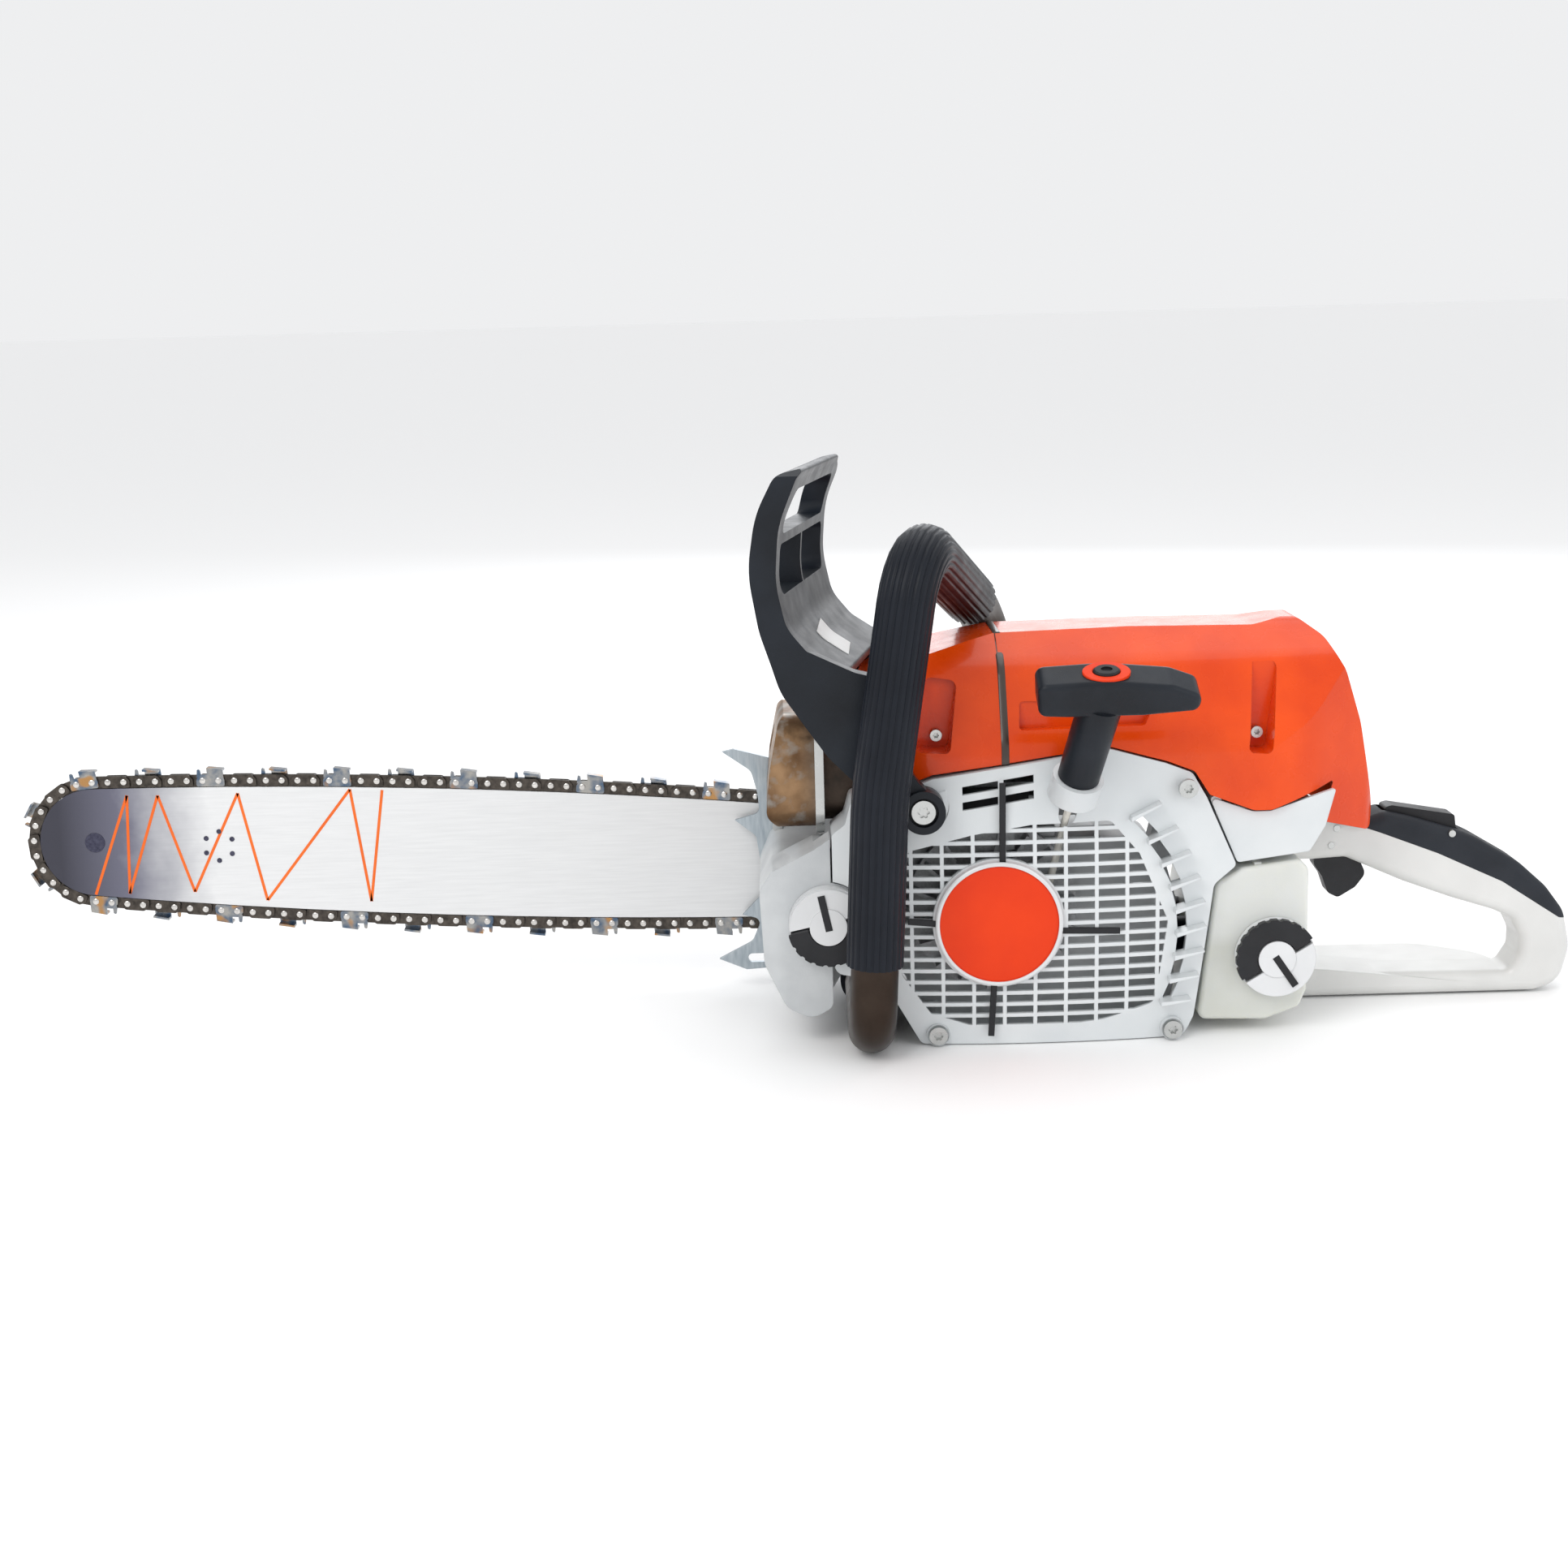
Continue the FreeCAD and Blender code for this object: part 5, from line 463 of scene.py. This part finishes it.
# %% The handle's line
def rounded_route(points, step=0.007):
    """Points along straight runs joined by tangent arcs; an inner point is (x, y, z, radius)."""
    spots = [Vector(p[:3]) for p in points]
    line = [spots[0]]
    for i in range(1, len(spots) - 1):
        back = (spots[i - 1] - spots[i]).normalized()
        ahead = (spots[i + 1] - spots[i]).normalized()
        half = back.angle(ahead) / 2
        radius = points[i][3]
        reach = radius / math.tan(half)
        middle = spots[i] + (back + ahead).normalized() * (radius / math.sin(half))
        first = spots[i] + back * reach - middle
        last = spots[i] + ahead * reach - middle
        sweep_angle = math.pi - 2 * half
        turns = max(3, int(radius * sweep_angle / step))
        for k in range(turns + 1):
            near = math.sin(sweep_angle * (1 - k / turns)) / math.sin(sweep_angle)
            far = math.sin(sweep_angle * k / turns) / math.sin(sweep_angle)
            line.append(middle + first * near + last * far)
    line.append(spots[-1])
    return line


handle_points = [(-0.072, -0.112, 0.0136), (-0.0655, -0.112, 0.150, 0.300), (-0.045, -0.112, 0.287, 0.026),
                 (0.006, 0.066, 0.224)]
sleeve_points = list(handle_points)
low_point = Vector(handle_points[0])
knee = Vector(handle_points[1][:3])
sleeve_points[0] = tuple(low_point + (knee - low_point) * ((0.0575 - low_point.z) / (knee.z - low_point.z)))
top_corner = Vector(handle_points[2][:3])
sleeve_points[-1] = tuple(top_corner + (Vector(handle_points[3]) - top_corner) * 0.797)
sleeve_line = rounded_route(sleeve_points)
print("sleeve line has", len(sleeve_line), "points")

# %% Fluted sweep as Geometry Nodes
def tree_with(name, *sockets):
    """New Geometry Nodes group with a geometry in, a geometry out and named inputs."""
    tree = bpy.data.node_groups.new(name, "GeometryNodeTree")
    tree.interface.new_socket("Geometry", in_out="INPUT", socket_type="NodeSocketGeometry")
    for label, kind, value in sockets:
        socket = tree.interface.new_socket(label, in_out="INPUT", socket_type=kind)
        if value is not None:
            socket.default_value = value
    tree.interface.new_socket("Geometry", in_out="OUTPUT", socket_type="NodeSocketGeometry")
    return tree, tree.nodes.new("NodeGroupInput"), tree.nodes.new("NodeGroupOutput")


def bake_tree(host, tree, values, name):
    """Runs the tree on host, gives back its result as a plain mesh and clears host away."""
    modifier = host.modifiers.new("nodes", "NODES")
    modifier.node_group = tree
    for item in tree.interface.items_tree:
        if item.in_out == "INPUT" and item.name in values:
            modifier[item.identifier] = values[item.name]
    graph = bpy.context.evaluated_depsgraph_get()
    made = bpy.data.meshes.new_from_object(host.evaluated_get(graph), depsgraph=graph)
    made.name = name
    host.modifiers.remove(modifier)
    bpy.data.objects.remove(host)
    return made


flutes, into, out = tree_with("fluted_sweep", ("Radius", "NodeSocketFloat", 0.0152),
                              ("Flute depth", "NodeSocketFloat", 0.0007),
                              ("Flutes", "NodeSocketInt", 24), ("Finish", "NodeSocketMaterial", None))
add = flutes.nodes.new
join = flutes.links.new
ring = add("GeometryNodeCurvePrimitiveCircle")
ring.inputs["Resolution"].default_value = 192
join(into.outputs["Radius"], ring.inputs["Radius"])
spot = add("GeometryNodeInputPosition")
split = add("ShaderNodeSeparateXYZ")
join(spot.outputs[0], split.inputs[0])
angle = add("ShaderNodeMath")
angle.operation = "ARCTAN2"
join(split.outputs["Y"], angle.inputs[0])
join(split.outputs["X"], angle.inputs[1])
wave = add("ShaderNodeMath")
wave.operation = "MULTIPLY"
join(angle.outputs[0], wave.inputs[0])
join(into.outputs["Flutes"], wave.inputs[1])
height = add("ShaderNodeMath")
height.operation = "COSINE"
join(wave.outputs[0], height.inputs[0])
flat_top = add("ShaderNodeMapRange")
flat_top.inputs["From Min"].default_value = -0.9
flat_top.inputs["From Max"].default_value = -0.2
join(height.outputs[0], flat_top.inputs["Value"])
depth = add("ShaderNodeMath")
depth.operation = "MULTIPLY"
join(flat_top.outputs[0], depth.inputs[0])
join(into.outputs["Flute depth"], depth.inputs[1])
outward = add("ShaderNodeVectorMath")
outward.operation = "NORMALIZE"
join(spot.outputs[0], outward.inputs[0])
push = add("ShaderNodeVectorMath")
push.operation = "SCALE"
join(outward.outputs[0], push.inputs[0])
join(depth.outputs[0], push.inputs["Scale"])
shaped = add("GeometryNodeSetPosition")
join(ring.outputs["Curve"], shaped.inputs["Geometry"])
join(push.outputs[0], shaped.inputs["Offset"])
sweep = add("GeometryNodeCurveToMesh")
sweep.inputs["Fill Caps"].default_value = True
join(into.outputs["Geometry"], sweep.inputs["Curve"])
join(shaped.outputs[0], sweep.inputs["Profile Curve"])
real = add("GeometryNodeRealizeInstances")
join(sweep.outputs[0], real.inputs[0])
paint = add("GeometryNodeSetMaterial")
join(real.outputs[0], paint.inputs["Geometry"])
join(into.outputs["Finish"], paint.inputs["Material"])
join(paint.outputs[0], out.inputs[0])
print("fluted sweep has", len(flutes.nodes), "nodes")

# %% Sweep the sleeve
def line_host(name, points):
    """Curve object with one open poly spline through the points."""
    data = bpy.data.curves.new(name, "CURVE")
    data.dimensions = "3D"
    spline = data.splines.new("POLY")
    spline.points.add(len(points) - 1)
    for slot, spot in zip(spline.points, points):
        slot.co = (*spot, 1.0)
    host = bpy.data.objects.new(name, data)
    bpy.context.scene.collection.objects.link(host)
    return host


sleeve_sizes = {"Radius": 0.01475, "Flute depth": 0.0008, "Flutes": 24, "Finish": rubber}
sleeve_mesh = bake_tree(line_host("sleeve_route", sleeve_line), flutes, sleeve_sizes, "handle_rubber")
sleeve_mesh.shade_smooth()
sleeve = piece("handle_rubber", sleeve_mesh, rubber, "engine_unit")
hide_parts("handle_sleeve")

# %% [markdown]
# ## Chain rivets
# A saw chain is held together by riveted pins whose heads are formed to low domes. The CAD
# node says where each pin is; a Geometry Nodes tree sets one turned rivet on every centre.

# %% Centres of the pins
def islands(mesh):
    """Groups of vertex places that belong to one closed solid."""
    bm = bmesh.new()
    bm.from_mesh(mesh)
    bmesh.ops.remove_doubles(bm, verts=bm.verts, dist=1e-6)
    seen = set()
    groups = []
    for first in bm.verts:
        if first.index in seen:
            continue
        todo = [first]
        seen.add(first.index)
        spots = []
        while todo:
            vert = todo.pop()
            spots.append(vert.co.copy())
            for edge in vert.link_edges:
                other = edge.other_vert(vert)
                if other.index not in seen:
                    seen.add(other.index)
                    todo.append(other)
        groups.append(spots)
    bm.free()
    return groups


def middle_of(spots):
    low = Vector([min(s[i] for s in spots) for i in range(3)])
    high = Vector([max(s[i] for s in spots) for i in range(3)])
    return (low + high) / 2, high - low


pins = [middle_of(group) for group in islands(node["chain_rivets"].data)]
pin_length = max(size.y for _, size in pins)
pin_radius = max(min(size.x, size.z) for _, size in pins) / 2
print(len(pins), "pins,", round(pin_length * 1000, 2), "mm long, radius", round(pin_radius * 1000, 2))

# %% One rivet and its tree
half = pin_length / 2
head = pin_radius * 1.36
inset = 0.00058
dome = [(0.0, half), (head * 0.5, half - 0.00005), (head * 0.85, half - 0.00022), (head, half - 0.00045),
        (head, half - inset), (pin_radius, half - inset), (pin_radius, -half + inset), (head, -half + inset),
        (head, -half + 0.00045), (head * 0.85, -half + 0.00022), (head * 0.5, -half + 0.00005), (0.0, -half)]
lie_across = Matrix.Rotation(math.radians(-90), 4, "X")
rivet_mesh = mesh_from("rivet_shape", lambda bm: lathe(bm, dome, 16, lie_across), 50.0)
rivet_shape = bpy.data.objects.new("rivet_shape", rivet_mesh)
bpy.context.scene.collection.objects.link(rivet_shape)

scatter, into, out = tree_with("set_on_points", ("Shape", "NodeSocketObject", None),
                               ("Size", "NodeSocketFloat", 1.0), ("Finish", "NodeSocketMaterial", None))
add = scatter.nodes.new
join = scatter.links.new
points = add("GeometryNodeMeshToPoints")
join(into.outputs["Geometry"], points.inputs[0])
shape = add("GeometryNodeObjectInfo")
join(into.outputs["Shape"], shape.inputs["Object"])
placed = add("GeometryNodeInstanceOnPoints")
join(points.outputs[0], placed.inputs["Points"])
join(shape.outputs["Geometry"], placed.inputs["Instance"])
join(into.outputs["Size"], placed.inputs["Scale"])
real = add("GeometryNodeRealizeInstances")
join(placed.outputs[0], real.inputs[0])
paint = add("GeometryNodeSetMaterial")
join(real.outputs[0], paint.inputs["Geometry"])
join(into.outputs["Finish"], paint.inputs["Material"])
join(paint.outputs[0], out.inputs[0])


def points_host(name, spots):
    data = bpy.data.meshes.new(name)
    data.from_pydata([tuple(s) for s in spots], [], [])
    host = bpy.data.objects.new(name, data)
    bpy.context.scene.collection.objects.link(host)
    return host


rivets_mesh = bake_tree(points_host("pin_centres", [centre for centre, _ in pins]), scatter,
                        {"Shape": rivet_shape, "Size": 1.0, "Finish": rivet_steel}, "chain_pins")
bpy.data.objects.remove(rivet_shape)
chain_pins = piece("chain_pins", rivets_mesh, rivet_steel, "engine_unit")
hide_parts("chain_rivets")

# %% [markdown]
# ## Sight lines
# Narrow black strips on the fan housing show the felling direction. Each is a thin plate with
# a chamfered rim, sunk a little into the housing so that no light shows under it. A plain
# prism is enough: a strip has no curve that a modifier would have to follow.

# %% Strips on the fan housing
upright = Matrix.Identity(4)


def strip_outline(x0, z0, x1, z1, width):
    """Four corners of a straight strip between two spots."""
    along = Vector((x1 - x0, z1 - z0)).normalized()
    side = Vector((-along.y, along.x)) * (width / 2)
    a, b = Vector((x0, z0)), Vector((x1, z1))
    return [tuple(a + side), tuple(a - side), tuple(b - side), tuple(b + side)]


face_y = -0.0860
strip_width = 0.0034
strip_proud = 0.00035
strip_sunk = 0.0012
sight_lines = [(0.0025, 0.1504, 0.0022, 0.1060), (0.0345, 0.0663, 0.0668, 0.0653),
               (-0.0029, 0.0368, -0.0048, 0.0065), (-0.0500, 0.0737, -0.0350, 0.0721)]


def build_strips(bm):
    for x0, z0, x1, z1 in sight_lines:
        outline = strip_outline(x0, z0, x1, z1, strip_width)
        prism(bm, outline, upright, face_y - strip_proud, face_y + strip_sunk, chamfer=0.0002)


piece("sight_strips", mesh_from("sight_strips", build_strips), lever_black, "engine_unit")

# %% [markdown]
# ## Printed lines on the bar
# The bar carries a thin orange line that runs up and down between its rails, on both faces.
# Ink has next to no height, so each stretch is a plate a tenth of a millimetre proud of the
# lacquer. Real plates keep the colour apart from the bar's own finish in every export.

# %% Lines on the bar
def bar_face(side):
    """Y of the bar's face that looks towards side (-1 or 1)."""
    low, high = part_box("guide_bar")
    return low[1] if side < 0 else high[1]


line_width = 0.0017
line_proud = 0.00012
line_sunk = 0.0004
zig_zag = [(-0.5366, 0.0690), (-0.5126, 0.1300), (-0.5159, 0.0690), (-0.4941, 0.1295), (-0.4763, 0.0690),
           (-0.4458, 0.1295), (-0.4326, 0.0625), (-0.3781, 0.1300), (-0.3695, 0.0600), (-0.3587, 0.1290)]


def build_lines(bm):
    for side in (-1, 1):
        face = bar_face(side)
        for (x0, z0), (x1, z1) in zip(zig_zag, zig_zag[1:]):
            outline = strip_outline(x0, z0, x1, z1, line_width)
            prism(bm, outline, upright, face + side * line_proud, face - side * line_sunk)


bar_lines = mesh_from("bar_lines", build_lines)
line_orange = moulded("line_orange", (0.76, 0.120, 0.008), (0.82, 0.150, 0.012), 0.45, 0.0006, 0.00001,
                      edge=0.0, specular=0.35)
piece("bar_lines", bar_lines, line_orange, "engine_unit")

# %% [markdown]
# ## Seam band
# A smoked band closes the joint between the two covers. It has to follow their rim exactly,
# so the rim is read from the front cover's own mesh: for each small step of angle, the vertex
# that lies furthest out is kept. A six-sided profile is then laid along those spots.

# %% Seam band between the covers
rim_depth = 0.0006
angle_step = 0.035
seam_outline = [(-0.0006, -0.0008), (-0.0006, 0.0002), (0.0002, 0.0005), (0.0028, 0.0005), (0.0036, 0.0002),
                (0.0036, -0.0008)]


def seam_profile():
    """Front cover's rear rim as (spot, outward way) from one side over the top, and its X."""
    low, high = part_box("front_cover")
    middle = Vector(((low[1] + high[1]) / 2, low[2] + 0.012))
    best = {}
    for vert in node["front_cover"].data.vertices:
        if high[0] - vert.co.x > rim_depth:
            continue
        out_from = Vector((vert.co.y, vert.co.z)) - middle
        if out_from.y < -0.002:
            continue
        key = round(math.atan2(out_from.y, out_from.x) / angle_step)
        if key not in best or out_from.length > best[key].length:
            best[key] = out_from
    return [(middle + best[key], best[key].normalized()) for key in sorted(best)], high[0]


def build_seam(bm):
    rim, x0 = seam_profile()
    rings = []
    for spot, outward in rim:
        ring = []
        for x, lift in seam_outline:
            flat = spot + outward * lift
            ring.append(bm.verts.new((x0 + x, flat.x, flat.y)))
        rings.append(ring)
    sides = len(seam_outline)
    for low, high in zip(rings, rings[1:]):
        for k in range(sides):
            bm.faces.new([low[k], low[(k + 1) % sides], high[(k + 1) % sides], high[k]])
    bm.faces.new(rings[0][::-1])
    bm.faces.new(rings[-1])


piece("seam_band", mesh_from("seam_band", build_seam), seam_smoke, "engine_unit")

# %% [markdown]
# ## Ring and plug on the pull grip
# The knot of the starter rope sits under a black plug with an orange ring round it. Both are
# turned shapes, so a lathe makes them; the grip is narrow from front to back, so the same
# matrix that leans them over also squeezes them into ovals.

# %% Ring and plug
rope_seat = Vector((0.042, -0.092, 0.151))
rope_way = Vector((0.17, -0.47, 0.866)).normalized()
grip_height = 0.063
grip_crown = 0.0129
squeeze = 0.66
turned_steps = 64
bar_centre = rope_seat + rope_way * grip_height
tilt = math.radians(28)
top_way = Vector((0.0, -math.sin(tilt), math.cos(tilt)))
ring_at = Matrix.Translation(bar_centre + top_way * grip_crown)
ring_turn = ring_at @ Matrix.Rotation(tilt, 4, "X") @ Matrix.Diagonal((1.0, squeeze, 1.0, 1.0))
ring_shape = [(0.0072, -0.0025), (0.0126, -0.0025), (0.0126, 0.0003), (0.0122, 0.0006), (0.0076, 0.0006),
              (0.0072, 0.0003)]
plug_shape = [(0.0, -0.0020), (0.0071, -0.0020), (0.0071, 0.0010), (0.0062, 0.0019), (0.0030, 0.0020),
              (0.0028, 0.0008), (0.0, 0.0008)]
ring_mesh = mesh_from("grip_ring", lambda bm: lathe(bm, ring_shape, turned_steps, ring_turn))
piece("grip_ring", ring_mesh, badge_orange, "starter_grip")
plug_mesh = mesh_from("grip_plug", lambda bm: lathe(bm, plug_shape, turned_steps, ring_turn))
piece("grip_plug", plug_mesh, lever_black, "starter_grip")

# %% [markdown]
# ## Rim of the badge
# The round badge sits in a thin pale rim. Its size and place come from the badge's box, so it
# stays round the badge if that changes. The rim is turned about the badge's own axis.

# %% White rim of the badge
badge_low, badge_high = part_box("badge")
badge_radius = (badge_high[0] - badge_low[0]) / 2
badge_middle = ((badge_low[0] + badge_high[0]) / 2, badge_low[1], (badge_low[2] + badge_high[2]) / 2)
badge_turn = Matrix.Translation(badge_middle) @ Matrix.Rotation(math.radians(90), 4, "X")
rim_shape = [(badge_radius - 0.0006, -0.0012), (badge_radius + 0.0016, -0.0012), (badge_radius + 0.0016, 0.0002),
             (badge_radius + 0.0008, 0.0007), (badge_radius - 0.0006, 0.0004)]
rim_mesh = mesh_from("badge_rim", lambda bm: lathe(bm, rim_shape, 96, badge_turn))
piece("badge_rim", rim_mesh, cap_white, "engine_unit")

# %% [markdown]
# ## Label on the guard
# A plain pale sticker lies on the guard's curved foot. A flat plate would stand off the curve,
# so a small grid is dropped onto the guard's surface with rays, lifted a hair along each
# surface normal and closed with a second layer below. It rides on the guard, so it tilts too.

# %% Label on the guard
label_finish = moulded("label_paper", (0.70, 0.71, 0.70), (0.78, 0.79, 0.78), 0.45, 0.0012, 0.00001)


def label_spots(rows, columns):
    """Grid of (spot, normal) on the guard, row by row from its front edge rearwards."""
    mesh = node["hand_guard"].data
    skin = BVHTree.FromPolygons([v.co.copy() for v in mesh.vertices], [tuple(p.vertices) for p in mesh.polygons])
    down = Vector((-0.64, 0.12, -0.75)).normalized()
    spots = []
    for i in range(rows):
        along = i / (rows - 1)
        for k in range(columns):
            across = k / (columns - 1)
            start = Vector((-0.0955 + 0.0180 * along, -0.046 + 0.030 * across, 0.2315 - 0.0130 * along))
            spot, normal, _, _ = skin.ray_cast(start - down * 0.02, down)
            spots.append((spot, normal))
    return spots


def build_label(bm):
    """Plain sticker that follows the guard: an upper and a lower grid joined round the rim."""
    rows, columns = 9, 3
    spots = label_spots(rows, columns)
    top = [bm.verts.new(spot + normal * 0.0003) for spot, normal in spots]
    under = [bm.verts.new(spot - normal * 0.0004) for spot, normal in spots]
    last = columns - 1
    rim = list(range(columns))
    rim += [i * columns + last for i in range(1, rows)]
    rim += [(rows - 1) * columns + k for k in range(last - 1, -1, -1)]
    rim += [i * columns for i in range(rows - 2, 0, -1)]
    for i in range(rows - 1):
        for k in range(last):
            a = i * columns + k
            bm.faces.new([top[a], top[a + 1], top[a + columns + 1], top[a + columns]])
            bm.faces.new([under[a], under[a + columns], under[a + columns + 1], under[a + 1]])
    for a, b in zip(rim, rim[1:] + rim[:1]):
        bm.faces.new([top[a], under[a], under[b], top[b]])


piece("guard_label", mesh_from("guard_label", build_label), label_finish, "hand_guard")

# %% [markdown]
# ## Marks on the caps
# Each filler cap has a raised black bar that shows which way it is turned. The bar runs from
# just past the middle of the cap to its rim, so its place comes from the cap's box. It rides
# on the cap and turns with it.

# %% Marks on the caps
def cap_mark(cap, angle):
    """Outline of the bar on a cap, and the Y of the cap's face."""
    low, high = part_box(cap)
    middle = Vector(((low[0] + high[0]) / 2, (low[2] + high[2]) / 2))
    way = Vector((math.sin(angle), math.cos(angle)))
    tail = middle - way * 0.002
    tip = middle + way * 0.0185
    return strip_outline(tail.x, tail.y, tip.x, tip.y, 0.0040), low[1]


mark_proud = 0.0003
mark_sunk = 0.0008
for cap, degrees in (("oil_cap", -12), ("fuel_cap", 146)):
    outline, face = cap_mark(cap, math.radians(degrees))
    heights = (face - mark_proud, face + mark_sunk)
    mark_mesh = mesh_from(cap + "_mark", lambda bm: prism(bm, outline, upright, *heights, chamfer=0.0002))
    piece(cap + "_mark", mark_mesh, lever_black, cap)
